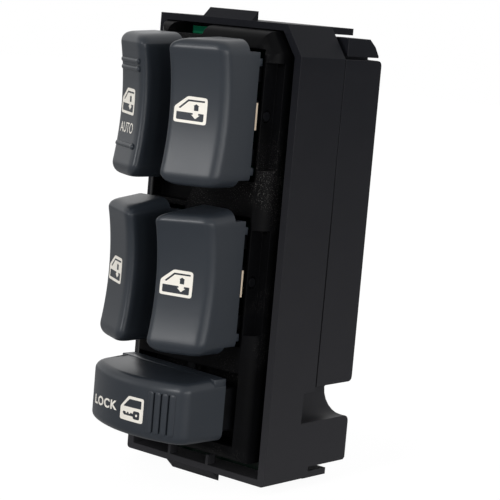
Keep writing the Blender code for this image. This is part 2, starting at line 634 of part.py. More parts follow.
def end_inset(distance, radius):
    """How far a surface steps in where an end is rounded, at a distance from that end."""
    if distance >= radius:
        return 0.0
    return radius - math.sqrt(max(0.0, radius * radius - (radius - distance) ** 2))


def lofted_cap(name, sections):
    """Skin a row of sections, each a list of points going the same way round, and cap the ends."""
    bm = bmesh.new()
    rings = [[bm.verts.new(point) for point in section] for section in sections]
    count = len(rings[0])
    for first, second in zip(rings, rings[1:]):
        for i in range(count):
            j = (i + 1) % count
            bm.faces.new((first[i], first[j], second[j], second[i]))
    bm.faces.new(rings[0])
    bm.faces.new(reversed(rings[-1]))
    return finish_mesh(bm, name)


def levels(half, radius, steps, end_steps):
    """Places along a length with two rounded ends: even in the middle, closer together at the ends."""
    ends = [half - radius * (1 - math.cos(math.pi / 2 * i / end_steps)) for i in range(end_steps)]
    flat = half - radius
    middle = [flat - 2 * flat * i / steps for i in range(steps + 1)]
    return ends + middle + [-value for value in reversed(ends)]


def corner_arc(corner, before, after, radius, steps):
    """Round one corner of an outline by a curve that starts and ends one radius from it."""
    def towards(a, b):
        length = math.hypot(b[0] - a[0], b[1] - a[1])
        return (a[0] + (b[0] - a[0]) * radius / length, a[1] + (b[1] - a[1]) * radius / length)

    start = towards(corner, before)
    stop = towards(corner, after)
    points = []
    for i in range(steps + 1):
        t = i / steps
        x = (1 - t) ** 2 * start[0] + 2 * t * (1 - t) * corner[0] + t * t * stop[0]
        y = (1 - t) ** 2 * start[1] + 2 * t * (1 - t) * corner[1] + t * t * stop[1]
        points.append((x, y))
    return points


def window_face(across, height):
    """Front of a window key: dished along its height and sloping back from the inner side."""
    dish = KEY_DISH * (height / KEY_HALF_HEIGHT) ** 2
    return -KEY_REACH - dish + KEY_CROSS_SLOPE * across


def window_solid(name, side, shrink, rear, half_height, end_radius, steps, arc_steps, draft=0.0):
    """A window key's outer form, or the same form drawn in by a wall, about its pivot.

    The upper end falls towards the face by the draft, and less so further down.
    """
    rise = KEY_RISE if shrink == 0 else 0.0
    middle = side * KEY_CENTRE
    sections = []
    for along in levels(half_height, end_radius, steps, arc_steps):
        inset = shrink + end_inset(half_height - abs(along), end_radius)
        inner = KEY_INNER + inset
        outer = KEY_OUTER - inset
        front_inner = (inner, window_face(inset, along + rise) + inset)
        front_outer = (outer, window_face(KEY_WIDTH - inset, along + rise) + inset)
        rear_inner = (inner, rear)
        rear_outer = (outer, rear)
        radius = max(KEY_EDGE_RADIUS - shrink, LEAST_RADIUS)
        outline = [rear_inner]
        outline += corner_arc(front_inner, rear_inner, front_outer, radius, arc_steps)
        outline += corner_arc(front_outer, front_inner, rear_outer, radius, arc_steps)
        outline += [rear_outer]
        tip = -KEY_REACH - KEY_DISH
        fall = draft * max(0.0, along / half_height) ** 4
        section = []
        for x, y in outline:
            forward = (rear - y) / (rear - tip)
            section.append((side * x - middle, y - PIVOT_Y, along + rise - fall * forward))
        sections.append(section)
    return lofted_cap(name, sections)


def stem_solid(name, side, margin, depth, rear):
    """A window key's light stem about its pivot; its front follows the key's face at a depth below it."""
    middle = side * KEY_CENTRE
    sections = []
    for along in (STEM_HALF_HEIGHT + margin, -STEM_HALF_HEIGHT - margin):
        half = STEM_HALF_WIDTH + margin
        inner, outer = KEY_WIDTH / 2 - half, KEY_WIDTH / 2 + half
        outline = [(inner, rear)]
        outline += [(across, window_face(across, along) + depth) for across in (inner, outer)]
        outline += [(outer, rear)]
        sections.append([(side * (KEY_INNER + x) - middle, y - PIVOT_Y, along) for x, y in outline])
    return lofted_cap(name, sections)


def make_window_key(name, side, height, draft, barred):
    """Painted cap over its rocker, which turns on two trunnions, and the light guide through the rocker."""
    middle = side * KEY_CENTRE
    place = (middle, PIVOT_Y, height)
    cap = window_solid(f"{name}_key", side, 0.0, KEY_REAR, KEY_HALF_HEIGHT, KEY_END_RADIUS, 8, 4, draft)
    key = add_part(f"{name}_key", cap, KEY_PAINT, place, 35.0)

    def across(low, high, y_low, y_high, z_low, z_high, label):
        edges = sorted((side * low - middle, side * high - middle))
        lower = (edges[0], y_low - PIVOT_Y, z_low)
        upper = (edges[1], y_high - PIVOT_Y, z_high)
        return box(label, lower, upper)

    label = f"{name}_skirt"
    half = SKIRT_HALF_HEIGHT
    weld(key, across(KEY_INNER, KEY_OUTER, KEY_REAR - OVERCUT, SKIRT_REAR, -half, half, label), label)
    half = SKIRT_HALF_HEIGHT - KEY_WALL
    label = f"{name}_hollow"
    cut(key, window_solid(label, side, KEY_WALL, SKIRT_REAR + OVERCUT, half, HOLLOW_END_RADIUS, 4, 2), label)
    for low in (KEY_INNER, KEY_OUTER - STOP_WIDTH):
        for end in (-1, 1):
            outer = SKIRT_HALF_HEIGHT - STOP_INSET
            z = sorted((end * (outer - STOP_HEIGHT), end * outer))
            label = f"{name}_stop_{round(low / MM)}_{end}"
            rear = SKIRT_REAR + STOP_REACH
            weld(key, across(low, low + STOP_WIDTH, SKIRT_REAR - GAP, rear, z[0], z[1], label), label)
    if barred:
        slope = math.atan(KEY_CROSS_SLOPE)
        for number, along in enumerate(CROSS_BARS, 1):
            first = CROSS_BAR_INSET
            last = KEY_WIDTH - 0.2 * KEY_EDGE_RADIUS
            length = (last - first) / math.cos(slope)
            label = f"{name}_bar_{number}"
            bar = cylinder(label, CROSS_BAR_RADIUS, (0, 0, 0), length, "X", 12, CROSS_BAR_RADIUS * 0.5)
            depth = window_face(first, along) + CROSS_BAR_RADIUS - BAR_PROUD - PIVOT_Y
            start = (side * (KEY_INNER + first) - middle, depth, along)
            turn = Matrix.Rotation(slope if side > 0 else math.pi - slope, 4, "Z")
            bar.transform(Matrix.Translation(start) @ turn)
            weld(key, bar, label)

    shrink = KEY_WALL + GAP
    label = f"{name}_rocker"
    solid = window_solid(label, side, shrink, ROCKER_FOOT, ROCKER_HALF_HEIGHT, ROCKER_END_RADIUS, 4, 2)
    rocker = add_part(label, solid, ROCKER_PLASTIC, place)
    start = side * (WELL_INNER - TRUNNION_SOCKET + GAP) - middle
    stop = side * (WELL_OUTER + WELL_WALL) - middle
    bar = cylinder(f"{name}_trunnion", TRUNNION_RADIUS, (min(start, stop), 0.0, 0.0), abs(stop - start), "X")
    weld(rocker, bar, f"{name}_trunnion")
    cut(rocker, stem_solid(f"{name}_bore", side, GAP, -OVERCUT, ROCKER_FOOT + OVERCUT), f"{name}_bore")
    front = SKIRT_REAR + GAP
    back = front + PLATE_THICKNESS
    half = PLATE_HALF_HEIGHT + GAP
    slot = across(KEY_INNER, KEY_OUTER, front - GAP, back + GAP, -half, half, f"{name}_slot")
    cut(rocker, slot, f"{name}_slot")
    for end in (-1, 1):
        z = sorted((end * (PLATE_HALF_HEIGHT + ROCKER_WINDOW_MARGIN), end * PLUNGER_CLEAR))
        label = f"{name}_window_{end}"
        rear = ROCKER_FOOT + OVERCUT
        cut(rocker, across(KEY_INNER, KEY_OUTER, ROCKER_WINDOW_FRONT, rear, z[0], z[1], label), label)

    stem = stem_solid(f"{name}_stem", side, 0.0, shrink, ROCKER_FOOT)
    guide = add_part(f"{name}_light_guide", stem, GUIDE_PLASTIC, place)
    half = PLATE_HALF_HEIGHT
    low, high = KEY_INNER + PLATE_MARGIN, KEY_OUTER - PLATE_MARGIN
    weld(guide, across(low, high, front, back, -half, half, f"{name}_plate"), f"{name}_plate")


def lock_face(across):
    """Front of the lock key: crowned from end to end."""
    return -LOCK_REACH + LOCK_CROWN * (across / LOCK_HALF_WIDTH) ** 2


def lock_solid(name, shrink, rear, half_height, end_radius, face_steps, arc_steps, flare=0.0):
    """The lock key's outer form, or the same form drawn in by a wall, about its pivot.

    The upper end rises towards the rear by the flare.
    """
    sections = []
    for along in levels(half_height, end_radius, 2, arc_steps):
        inset = shrink + end_inset(half_height - abs(along), end_radius)
        half = LOCK_HALF_WIDTH - inset
        radius = max(LOCK_EDGE_RADIUS - shrink, LEAST_RADIUS)
        span = half - radius
        face = [-span + 2 * span * i / face_steps for i in range(face_steps + 1)]
        left = (-half, lock_face(half) + inset)
        right = (half, lock_face(half) + inset)
        start = (-span, lock_face(span) + inset)
        stop = (span, lock_face(span) + inset)
        outline = [(-half, rear)]
        outline += corner_arc(left, (-half, rear), start, radius, arc_steps)
        outline += [(x, lock_face(x) + inset) for x in face[1:-1]]
        outline += corner_arc(right, stop, (half, rear), radius, arc_steps)
        outline += [(half, rear)]
        rise = flare * max(0.0, along / half_height)
        section = []
        for x, y in outline:
            backward = (y + LOCK_REACH) / (rear + LOCK_REACH)
            section.append((x, y - PIVOT_Y, along + rise * backward))
        sections.append(section)
    return lofted_cap(name, sections)


def make_lock_key():
    """Crowned cap with four bars over its rocker and light guide, turning about an upright axis."""
    place = (0.0, PIVOT_Y, LOCK_HEIGHT)
    flare = LOCK_SKIRT_RISE - LOCK_LEDGE
    cap = lock_solid("lock_key", 0.0, KEY_REAR, LOCK_HALF_HEIGHT, LOCK_END_RADIUS, 10, 4, flare)
    key = add_part("lock_key", cap, KEY_PAINT, place, 35.0, -LOCK_TILT)
    low = (-LOCK_HALF_WIDTH, KEY_REAR - OVERCUT - PIVOT_Y, -LOCK_HALF_HEIGHT)
    high = (LOCK_HALF_WIDTH, SKIRT_REAR - PIVOT_Y, LOCK_SKIRT_HALF_HEIGHT)
    weld(key, box("lock_skirt", low, high), "lock_skirt")
    half = LOCK_HALF_HEIGHT - KEY_WALL
    radius = LOCK_INNER_END_RADIUS
    cut(key, lock_solid("lock_hollow", KEY_WALL, SKIRT_REAR + OVERCUT, half, radius, 6, 2), "lock_hollow")
    for number, x in enumerate(LOCK_BARS, 1):
        depth = lock_face(x) + LOCK_BAR_RADIUS - BAR_PROUD - PIVOT_Y
        start = (x, depth, -LOCK_BAR_HALF_HEIGHT)
        label = f"lock_bar_{number}"
        length = 2 * LOCK_BAR_HALF_HEIGHT
        weld(key, cylinder(label, LOCK_BAR_RADIUS, start, length, "Z", 12, LOCK_BAR_RADIUS * 0.5), label)
    half -= GAP
    shrink = KEY_WALL + GAP
    solid = lock_solid("lock_rocker", shrink, ROCKER_FOOT, half, radius, 6, 2)
    rocker = add_part("lock_rocker", solid, ROCKER_PLASTIC, place, 30.0, -LOCK_TILT)
    reach = LOCK_WELL_HALF_HEIGHT + TRUNNION_SOCKET - GAP
    bar = cylinder("lock_trunnion", TRUNNION_RADIUS, (0.0, 0.0, -reach), 2 * reach, "Z")
    weld(rocker, bar, "lock_trunnion")
    corner = (STEM_HALF_WIDTH, STEM_HALF_HEIGHT)
    low = (-corner[0] - GAP, -LOCK_REACH - PIVOT_Y, -corner[1] - GAP)
    high = (corner[0] + GAP, ROCKER_FOOT + OVERCUT - PIVOT_Y, corner[1] + GAP)
    cut(rocker, box("lock_bore", low, high), "lock_bore")
    low = (-corner[0], lock_face(corner[0]) + shrink - PIVOT_Y, -corner[1])
    high = (corner[0], ROCKER_FOOT - PIVOT_Y, corner[1])
    add_part("lock_light_guide", box("lock_stem", low, high), GUIDE_PLASTIC, place, 30.0, -LOCK_TILT)


def make_switch_block(name, centre, upright, tilt=0.0):
    """Switch block on the board: two plungers that its key rocks on, and a lamp in its opening.

    An upright block opens towards the middle of the housing; the lock's block has a window.
    """
    x, z = centre
    half = (BLOCK_HALF_WIDTH, BLOCK_HALF_LENGTH)
    half_x, half_z = half if upright else half[::-1]
    low = (x - half_x, BLOCK_FRONT, z - half_z)
    high = (x + half_x, CARRIER_BACK, z + half_z)
    block = add_part(f"{name}_switch_block", box(f"{name}_block", low, high), BLOCK_PLASTIC)
    if upright:
        spine = x + math.copysign(LAMP_WIDTH / 2 + GAP, x)
        edges = sorted((spine, x - math.copysign(BLOCK_HALF_WIDTH + OVERCUT, x)))
        half_z = PLUNGER_CLEAR - BLOCK_RIM
    else:
        edges = (x - BLOCK_WINDOW_HALF_LENGTH, x + BLOCK_WINDOW_HALF_LENGTH)
        half_z = BLOCK_WINDOW_HALF_WIDTH
    low = (edges[0], BLOCK_FRONT - OVERCUT, z - half_z)
    high = (edges[1], CARRIER_BACK + OVERCUT, z + half_z)
    cut(block, box(f"{name}_opening", low, high), f"{name}_opening")
    for end, label in ((1, "a"), (-1, "b")):
        px = x if upright else x + end * PLUNGER_OFFSET
        pz = z + end * PLUNGER_OFFSET if upright else z
        start = (px, BLOCK_FRONT - OVERCUT, pz)
        tool = f"{name}_bore_{label}"
        depth = BLOCK_THICKNESS + 2 * OVERCUT
        cut(block, cylinder(tool, PLUNGER_RADIUS + GAP, start, depth, "Y", 16), tool)
        mesh = cylinder(f"{name}_plunger", PLUNGER_RADIUS, (0, 0, 0), PLUNGER_LENGTH, "Y", 16, PLUNGER_EDGE)
        pushed = -end * PLUNGER_OFFSET * math.sin(math.radians(tilt))
        add_part(f"{name}_plunger_{label}", mesh, PLUNGER_PLASTIC, (px, ROCKER_FOOT + GAP + pushed, pz))
    half = (LAMP_WIDTH / 2, LAMP_LENGTH / 2)
    half_x, half_z = half if upright else half[::-1]
    low = (x - half_x, CARRIER_BACK - LAMP_HEIGHT, z - half_z)
    high = (x + half_x, CARRIER_BACK, z + half_z)
    add_part(f"{name}_lamp", box(f"{name}_lamp", low, high, LAMP_EDGE), LAMP_EPOXY)


def make_connector():
    """Connector on the rear of the board: a keyed socket that faces the rear, with its rows of pins."""
    front = BOARD_BACK + GAP
    back = CASE_DEPTH - CONNECTOR_RECESS
    floor = front + CONNECTOR_FLOOR
    low = (-CONNECTOR_HALF_WIDTH, front, CONNECTOR_HEIGHT - CONNECTOR_HALF_HEIGHT)
    high = (CONNECTOR_HALF_WIDTH, back, CONNECTOR_HEIGHT + CONNECTOR_HALF_HEIGHT)
    header = add_part("connector_header", box("connector_header", low, high), CONNECTOR_PLASTIC)
    half_width = CONNECTOR_HALF_WIDTH - CONNECTOR_WALL
    half_height = CONNECTOR_HALF_HEIGHT - CONNECTOR_WALL
    low = (-half_width, floor, CONNECTOR_HEIGHT - half_height)
    high = (half_width, back + OVERCUT, CONNECTOR_HEIGHT + half_height)
    cut(header, box("socket", low, high), "socket")
    low = (-CONNECTOR_KEYWAY / 2, back - 2 * CONNECTOR_KEYWAY, CONNECTOR_HEIGHT + half_height - OVERCUT)
    high = (CONNECTOR_KEYWAY / 2, back + OVERCUT, CONNECTOR_HEIGHT + CONNECTOR_HALF_HEIGHT + OVERCUT)
    cut(header, box("keyway", low, high), "keyway")
    number = 0
    for column in range(PIN_COLUMNS):
        for row in range(PIN_ROWS):
            number += 1
            x = (column - (PIN_COLUMNS - 1) / 2) * PIN_SPREAD
            z = CONNECTOR_HEIGHT + (row - (PIN_ROWS - 1) / 2) * PIN_PITCH
            low = (x - PIN_WIDTH / 2, floor - PIN_SEAT_DEPTH, z - PIN_THICKNESS / 2)
            high = (x + PIN_WIDTH / 2, floor + PIN_LENGTH, z + PIN_THICKNESS / 2)
            seat_low = [value - GAP for value in low]
            seat_high = [value + GAP for value in high]
            cut(header, box(f"pin_seat_{number}", seat_low, seat_high), f"pin_seat_{number}")
            add_part(f"terminal_pin_{number:02d}", box(f"pin_{number}", low, high, PIN_EDGE), PIN_METAL)


def place_frame():
    """Centre the switch's depth, keys included, on the origin, and stand it on its lower wedge."""
    bpy.context.view_layer.update()
    depsgraph = bpy.context.evaluated_depsgraph_get()
    reach = 0.0
    for part in PARTS.objects:
        if part.name.endswith("_key"):
            finished = part.evaluated_get(depsgraph)
            for vertex in finished.data.vertices:
                reach = max(reach, -(finished.matrix_world @ vertex.co).y)
    FRAME.location = (0.0, (reach - CASE_DEPTH) / 2, WEDGE_HEIGHT)


make_housing()
make_rear_cover()
make_carrier()
make_board()
make_screws()
for row_name, row_height, row_draft in zip(("front", "rear"), KEY_HEIGHTS, KEY_DRAFTS):
    for key_side, side_name in ((-1, "left"), (1, "right")):
        key_name = f"{row_name}_{side_name}"
        make_window_key(key_name, key_side, row_height, row_draft, key_name == "front_left")
        make_switch_block(key_name, (key_side * KEY_CENTRE, row_height), True)
make_lock_key()
make_switch_block("lock", (0.0, LOCK_HEIGHT), False, LOCK_TILT)
make_connector()
place_frame()
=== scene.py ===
"""Looks of a driver's door switch: four window keys and a lock key in a black snap-in housing.

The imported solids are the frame. Each solid is dressed: its faces are joined up
and its edges softened, or, for the five key caps, a smoother surface of the same
size takes its place. The printed legends are new pieces.
Lengths are in metres, in the frame's own axes: the keys face -Y and +Z is up.
"""
import contextlib
import json
import math

import bmesh
import bpy
import numpy as np
from bpy.props import FloatProperty, FloatVectorProperty, PointerProperty
from mathutils import Matrix, Vector


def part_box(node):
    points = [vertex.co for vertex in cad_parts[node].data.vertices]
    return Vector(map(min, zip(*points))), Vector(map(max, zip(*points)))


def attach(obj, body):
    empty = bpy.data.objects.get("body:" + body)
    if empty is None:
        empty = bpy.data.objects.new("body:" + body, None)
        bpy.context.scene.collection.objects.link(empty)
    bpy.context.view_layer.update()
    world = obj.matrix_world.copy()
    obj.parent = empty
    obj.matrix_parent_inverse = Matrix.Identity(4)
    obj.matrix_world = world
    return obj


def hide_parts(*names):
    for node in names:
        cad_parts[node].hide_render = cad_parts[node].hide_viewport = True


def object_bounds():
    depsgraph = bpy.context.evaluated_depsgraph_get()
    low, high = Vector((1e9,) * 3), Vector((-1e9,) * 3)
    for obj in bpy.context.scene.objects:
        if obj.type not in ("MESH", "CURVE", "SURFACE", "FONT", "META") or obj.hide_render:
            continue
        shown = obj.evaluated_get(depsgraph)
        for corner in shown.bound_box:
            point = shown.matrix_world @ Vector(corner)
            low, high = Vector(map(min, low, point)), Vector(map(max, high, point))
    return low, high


bl_info = {
    "name": "Window and lock switch looks",
    "version": (1, 0, 0),
    "blender": (4, 5, 0),
    "location": "View3D > Sidebar > Switch",
    "description": "Dresses the packed window and lock switch",
    "category": "Object",
}

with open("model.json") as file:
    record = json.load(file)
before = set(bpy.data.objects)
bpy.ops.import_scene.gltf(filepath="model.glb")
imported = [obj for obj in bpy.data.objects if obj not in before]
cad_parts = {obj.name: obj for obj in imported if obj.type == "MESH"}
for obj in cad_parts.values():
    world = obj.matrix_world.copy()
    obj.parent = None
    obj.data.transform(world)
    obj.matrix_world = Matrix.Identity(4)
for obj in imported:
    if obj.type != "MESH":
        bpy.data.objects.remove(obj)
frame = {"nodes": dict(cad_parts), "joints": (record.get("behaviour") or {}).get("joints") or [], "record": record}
CAD_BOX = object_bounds()
MM = 0.001
JOINTS = {joint["name"]: joint for joint in frame["joints"]}
WINDOW_KEYS = ("front_left", "front_right", "rear_left", "rear_right")


def mm(*millimetres):
    """Lengths given in millimetres."""
    return tuple(value * MM for value in millimetres)


def pivot_of(joint):
    """Place of a joint at rest."""
    return Vector(JOINTS[joint]["pos_m"])


# Housing: drop of the lower snap wedge, box round the rear edges of the foot's channels, height over which
# the painted light towards the foot fades out, and band of painted shadow along the seam with the rear cover
HOUSING_LOW, HOUSING_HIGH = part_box("housing")
RIM = HOUSING_LOW.y
WEDGE_DROP = 2.45 * MM
FOOT_EDGE_LOW = (16.1 * MM, HOUSING_HIGH.y - 0.1 * MM, 17.6 * MM)
FOOT_EDGE_HIGH = mm(24.5, 1000.0, 24.0)
FOOT_PAINTED_LIGHT_HEIGHT = 115 * MM
SEAM_FRONT, SEAM_BACK = 14.78 * MM - 0.6 * MM, 14.78 * MM + 0.7 * MM
SEAM_FADE, SEAM_TOP = mm(65, 85)
SEAM_SHADOW_TONE = (0.0004, 0.0004, 0.0004)

# Shells: points nearer than this are merged, flatter folds are dissolved, sharper ones rounded
MERGE = 0.02 * MM
FLAT_ANGLE = math.radians(0.4)
LOBE_ANGLE = 0.6
BEVEL_ANGLE = math.radians(38)

# Folds that stay sharp, in degrees: on shells, and on keys and legends by their slot
SHARP_FOLD = 35.0
SHARP_FOLDS = {"keys": 40.0, None: 30.0}

# Points along a key cap's ring, levels in its ends and between them, points along and round a bar
FLANK_STEPS, CORNER_STEPS, FACE_STEPS, END_STEPS = 5, 11, 23, 9
KEY_LINES, HOLLOW_LINES, LOCK_LINES, LOCK_HOLLOW_LINES = 40, 12, 14, 8
BAR_ROWS, BAR_COLUMNS = 28, 14

# Window keys, about the pivot
KEY_LOW, KEY_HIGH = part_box("front_right_key")
KEY_HALF = (KEY_HIGH.z - KEY_LOW.z) / 2
KEY_RISE = (KEY_HIGH.z + KEY_LOW.z) / 2 - pivot_of("front_right_window").z
SKIRT_HALF = KEY_HALF - 2.45 * MM
SKIRT_REAR = RIM - 8.4 * MM
HOLLOW_PAST_REAR = 1.0 * MM
HOLLOW_CORNERS = mm(0.8, 0.8)
HOLLOW_END, LOCK_HOLLOW_END = mm(1.2, 0.8)

# Small blocks at a skirt's corners, which stop the key
STOP_INSET, STOP_WIDTH, STOP_ROOT, STOP_REACH, STOP_EDGE = mm(0.06, 1.1, 0.5, 1.2, 0.15)
STOP_HEIGHTS = (mm(12.5, 14.4), mm(-14.7, -12.8))

# Bars of the first window key: start from the left edge, end from the right edge, half width and
# share of the bar height of their two bumps
CROSS_BAR_LEVELS = mm(11.0, 9.1, -10.2)
CROSS_BAR_BUMPS = ((*mm(0.8, -2.2, 0.62), 1.0), (*mm(10.05, -1.85, 0.78), 1.45))

# Lock key, about the pivot: a lip along its upper edge, and bars and slots by turns
LOCK_LOW, LOCK_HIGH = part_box("lock_key")
LOCK_HALF_WIDTH = KEY_HIGH.x - 0.11 * MM
LOCK_LIP = 1.05 * MM
LOCK_HALF = (LOCK_HIGH.z - LOCK_LOW.z - LOCK_LIP) / 2
LIP_INSET, LIP_ROOT, LIP_SINK, LIP_EDGE = mm(0.05, 1.2, 0.02, 0.2)
LOCK_BAR_INSETS = mm(8.65, 6.75, 4.85, 2.95)
LOCK_BAR_SPAN, LOCK_SLOT_SPAN = mm(-5.65, 5.35), mm(-5.2, 5.0)
LOCK_BAR_HALF_WIDTH, LOCK_BAR_HEIGHT = mm(0.72, 0.34)
LOCK_SLOT_HALF_WIDTH, LOCK_SLOT_DEPTH = mm(0.3, 0.75)
LOCK_SQUARENESS = 0.6

# Legends: left edges of the window symbols by side, lower edges by row, and the two words
SYMBOL_LEFT = {1: 5.98 * MM, -1: -16.3 * MM}
SYMBOL_BOTTOM = {"front": -2.6 * MM, "rear": -3.4 * MM}
SYMBOL_LEAN, SYMBOL_MIDDLE = -0.04, 3.8
AUTO_SPAN, AUTO_LINE = mm(-15.9, -8.2), mm(-7.25, -4.65)
LOCK_SPAN, LOCK_LINE = mm(-13.8, -1.95), mm(-2.45, 0.0)
LOCK_BOLDNESS, LOCK_LEAN, LOCK_SPACING = 0.032, 0.07, 1.16
LOCK_SYMBOL_PLACE = mm(-0.4, -3.65)
LEGEND_MERGE, LEGEND_STEP = mm(0.002, 0.5)

# Mouldings: roughness, grains per metre, depth of the grain and specular level
MOULDINGS = {
    "housing_finish": (0.42, 2600.0, 0.06 * MM, 0.04),
    "cover_finish": (0.46, 2200.0, 0.06 * MM, 0.04),
    "edge_finish": (0.45, 2600.0, 0.03 * MM, 0.05),
    "carrier_finish": (0.4, 1500.0, 0.02 * MM, 0.04),
    "rocker_finish": (0.45, 1800.0, 0.03 * MM, 0.06),
    "block_finish": (0.5, 1800.0, 0.04 * MM, 0.1),
}

# Plain finishes: noise, share and depth of its darker tone, roughness and its change, metallic
INK = ((900.0, 3.0, 0.6), 0.25, 0.8, 0.42, 0.15)
MILKY = ((220.0, 3.0, 0.5), 0.6, 0.72, 0.28, 0.2)
LINES = (2600.0, 2.0, 0.6, (1.0, 0.15, 1.0))
PLATED = (LINES, 0.5, 0.6, 0.2, 0.2, 1.0)
RUBBED = (LINES, 0.5, 0.6, 0.28, 0.2, 1.0)
PLUNGER_TONE, LAMP_TONE = (0.78, 0.76, 0.70), (0.85, 0.80, 0.45)

# Stage
SENSOR_WIDTH = 36.0
WORLD_LIGHT = 0.3
FLOOR_HALF, FLOOR_LINES = 2.0, 9
FLOOR_WHITE = 1.12
FLOOR_SHARE, FLOOR_SHARE_AWAY = 0.85, 0.04
SHADOW_NEAR, SHADOW_FAR = mm(70, 160)


def length(name, description, millimetres):
    """A length property with its default given in millimetres."""
    return FloatProperty(
        name=name, description=description, default=millimetres * MM, min=0.0, unit="LENGTH", precision=5
    )


def angle(name, description, degrees):
    """An angle property with its default given in degrees."""
    return FloatProperty(name=name, description=description, default=math.radians(degrees), subtype="ANGLE")


def power(name, lamp, watts):
    """The power of a lamp in watts."""
    return FloatProperty(name=name, description=f"Power of the {lamp} in watts", default=watts)


def colour(name, description, rgb):
    """A colour property, linear values."""
    return FloatVectorProperty(
        name=name, description=description, default=rgb, size=3, min=0.0, max=1.0, subtype="COLOR"
    )


class SwitchSizes(bpy.types.PropertyGroup):
    """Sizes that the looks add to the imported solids."""

    edge: length("Edge softness", "Radius on the housing's edges", 0.28)
    foot_lobe: length("Foot edge", "Radius along the rear edge of the foot's channels", 1.7)
    small_edge: length("Small edge softness", "Radius on the edges of small pieces", 0.12)
    key_corner: length("Key corner", "Radius at both flanks of a right window key", 2.3)
    inner_corner: length("Inner corner", "Radius at a left window key's inner flank", 3.3)
    outer_corner: length("Outer corner", "Radius at a left window key's outer flank", 1.7)
    key_end: length("Key end", "Radius at a window key's two ends", 3.4)
    upper_draft: length("Upper draft", "How far the upper keys' top ends fall towards the face", 1.1)
    lower_draft: length("Lower draft", "How far the lower keys' top ends fall towards the face", 2.2)
    key_dish: length("Key dish", "How far a window key's ends stand in front of its middle", 2.6)
    key_front: length("Key reach", "From the rim to the middle of a window key's inner edge", 26.0)
    key_slope: FloatProperty(
        name="Key slope",
        description="How far a window key falls back for each unit outwards",
        default=0.469,
    )
    lock_front: length("Lock reach", "From the rim to the crest of the lock key before it tilts", 27.0)
    lock_crown: length("Lock crown", "How far the lock key's ends stand behind its middle", 5.05)
    lock_corner: length("Lock corner", "Radius at the lock key's flanks", 2.6)
    lock_end: length("Lock end", "Radius along the lock key's upper and lower edge", 2.2)
    lock_tilt: angle("Lock tilt", "Angle at which the lock key rests", 5.1)
    skirt_depth: length("Skirt depth", "Depth of the straight skirt behind a key's cap", 4.0)
    key_wall: length("Key wall", "Wall thickness of a key", 1.6)
    bar_height: length("Bar height", "How far the raised bars stand out of a key", 0.5)
    ink: length("Ink thickness", "Thickness of the printed legends", 0.05)


class SwitchColours(bpy.types.PropertyGroup):
    """Colours of the finishes."""

    housing: colour("Housing", "Black moulding of the housing and its cover", (0.008, 0.0086, 0.0115))
    housing_light: colour("Housing dust", "Paler tone in the housing's grain", (0.016, 0.0163, 0.019))
    # Painted light: the housing and cover are painted paler towards the foot, as if lit more there
    foot: colour("Housing foot", "Tone of the housing towards its foot", (0.043, 0.0425, 0.046))
    # Part rubbed wear, part painted highlight: a paler tone on the rounded edges of the housing and cover
    edge: colour("Rubbed edge", "Paler tone along the housing's edges", (0.05, 0.05, 0.055))
    # Black moulding, set darker still as painted shade of the inside of the housing; rockers, blocks and connector
    # use it too
    carrier: colour("Carrier", "Smooth black moulding inside", (0.0018, 0.0018, 0.0019))
    dust: colour("Dust", "Pale specks on the inside mouldings", (0.055, 0.052, 0.05))
    key: colour("Key", "Slate paint of the keys", (0.0195, 0.0248, 0.0325))
    key_light: colour("Key wear", "Paler tone of the key paint", (0.0285, 0.033, 0.04))
    legend: colour("Legend", "Pale ink of the legends", (0.90, 0.86, 0.78))
    guide: colour("Light guide", "Milky moulding under the keys", (0.80, 0.66, 0.50))
    board: colour("Board", "Solder mask", (0.002, 0.075, 0.038))
    copper: colour("Track", "Tracks under the solder mask", (0.006, 0.130, 0.060))
    metal: colour("Metal", "Plated pins and screws", (0.66, 0.64, 0.60))
    floor: colour("Floor", "Pale floor", (0.80, 0.80, 0.80))


class SwitchStage(bpy.types.PropertyGroup):
    """Camera and lamps."""

    lens: FloatProperty(name="Lens", description="Focal length in millimetres", default=132.06, min=10.0)
    azimuth: angle("Azimuth", "Turn of the camera about Z", 39.62)
    elevation: angle("Elevation", "How far the camera looks down", 7.71)
    roll: angle("Roll", "Turn of the camera about its line of sight", 4.97)
    place: FloatVectorProperty(
        name="Camera place",
        description="Camera position, from the middle of the lower front edge of the housing's opening",
        default=(0.30892, -0.35739, 0.12289),
        size=3,
        subtype="TRANSLATION",
    )
    front_light: power("Front light", "lamp in front", 4.0)
    right_light: power("Right light", "large lamp on the right", 4.0)
    left_light: power("Left light", "lamp on the left", 0.6)
    edge_light: power("Edge light", "small lamp above the keys", 0.55)
    ridge_light: power("Ridge light", "upright strip lamp", 1.2)


# Surfaces


def corner_points(before, corner, after, radius):
    """Rounded corner: a quadratic curve from one radius before the corner to one radius after it.

    The three points are arrays over the levels; the result has one more axis, along the curve.
    """
    t = np.linspace(0.0, 1.0, CORNER_STEPS)[None, :, None]
    start = corner + (before - corner) / np.linalg.norm(before - corner, axis=1)[:, None] * radius
    stop = corner + (after - corner) / np.linalg.norm(after - corner, axis=1)[:, None] * radius
    return (1 - t) ** 2 * start[:, None] + 2 * t * (1 - t) * corner[:, None] + t**2 * stop[:, None]


def end_levels(half, radius, middle):
    """Heights from one rounded end to the other, and how far a quarter circle steps in at each."""
    turn = np.linspace(0.0, math.pi / 2, END_STEPS)
    height = half - radius * (1 - np.cos(turn))
    inset = radius * (1 - np.sin(turn))
    flat = np.linspace(height[-1], -height[-1], middle)[1:-1]
    heights = np.concatenate([height, flat, -height[::-1]])
    return heights, np.concatenate([inset, np.zeros(len(flat)), inset[::-1]])


